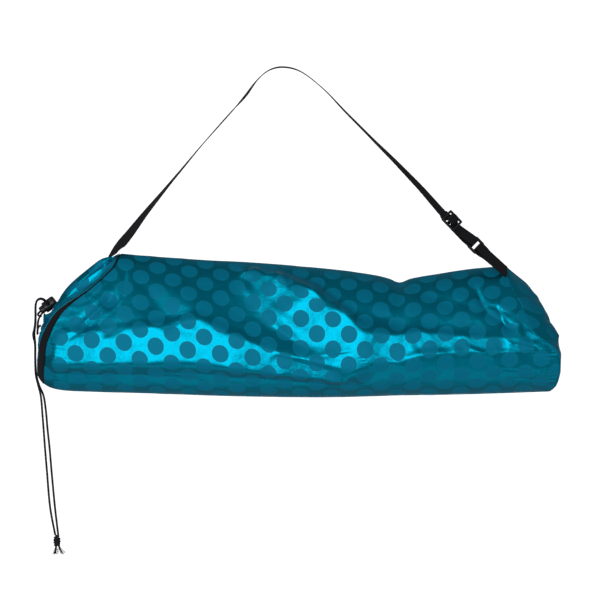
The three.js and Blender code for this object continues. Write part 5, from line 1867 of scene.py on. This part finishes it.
class Studio:
    """The camera, the lights and the pale backdrop."""

    lens = 220.0
    sensor = 36.0
    eye = (0.03175, -4.657, -0.2946)

    def build(self) -> None:
        """Makes the camera, the lights and the backdrop."""
        self.camera()
        self.backdrop()
        self.world()
        self.area("key", (-0.45, -2.6, -0.45), (0.0, 0.0, -0.33), (1.7, 1.3), 22)
        self.area("left", (-1.6, -1.0, 0.9), (-0.25, 0.0, -0.33), (0.5, 0.9), 3)
        self.area("bounce", (0.0, -0.3, -1.9), (0.0, 0.0, -0.4), (1.6, 0.8), 1.5)

    def camera(self) -> None:
        """Places the camera square to the bag's front."""
        data = bpy.data.cameras.new("camera")
        data.lens, data.sensor_width = self.lens, self.sensor
        data.dof.use_dof = False
        camera = bpy.data.objects.new("camera", data)
        camera.location = self.eye
        camera.rotation_euler = (math.pi / 2, 0, 0)
        bpy.context.scene.collection.objects.link(camera)
        bpy.context.scene.camera = camera

    def area(self, name: str, at: Sequence[float], to: Sequence[float], size: Sequence[float], power: float) -> None:
        """Adds a soft box that looks at a point."""
        data = bpy.data.lights.new(name, "AREA")
        data.shape, data.size, data.size_y, data.energy = "RECTANGLE", size[0], size[1], power
        light = bpy.data.objects.new(name, data)
        light.location = at
        light.rotation_euler = (Vector(to) - Vector(at)).to_track_quat("-Z", "Y").to_euler()
        bpy.context.scene.collection.objects.link(light)

    def backdrop(self) -> None:
        """Makes a lit white wall, far enough behind the bag to leave its front alone."""
        away, half = 6.0, 2.2
        middle = self.eye[2]
        vertices = np.array([(x, away, middle + z) for x, z in ((-half, -half), (half, -half), (half, half), (-half, half))])
        n = Nodes("backdrop")
        n.set(Base_Color=(0.8, 0.8, 0.8), Roughness=0.9, Emission_Color=(1, 1, 1), Emission_Strength=1.0)
        mesh_object("backdrop", vertices, [[0, 1, 2, 3]], n.material)

    def world(self) -> None:
        """Sets the light that comes from all around."""
        world = bpy.data.worlds.new("room")
        world.use_nodes = True
        world.node_tree.nodes["Background"].inputs["Color"].default_value = (0.9, 0.95, 1.0, 1)
        world.node_tree.nodes["Background"].inputs["Strength"].default_value = 0.15
        bpy.context.scene.world = world
        bpy.context.scene.view_settings.view_transform = "Standard"


def main() -> None:
    """Builds the scene, piece by piece."""
    logging.basicConfig(level=logging.INFO, format="%(name)s: %(message)s")
    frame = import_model()
    surface = BagSurface(SIZE, Crumple())
    cloth = Cloth(surface, ClothGrid())
    finishes = Finishes(cloth.dot_phase())
    Studio().build()
    strap = Strap(surface, StrapSize())
    Drawcord(BraidSize(), KnotSize()).build(finishes)
    strap.build(frame, finishes)
    cloth.build(finishes)
    CordLock(LockSize()).build(finishes)
    Stitching(surface, strap).build(finishes)
    LOG.info("made in full")


if __name__ == "__main__":
    main()
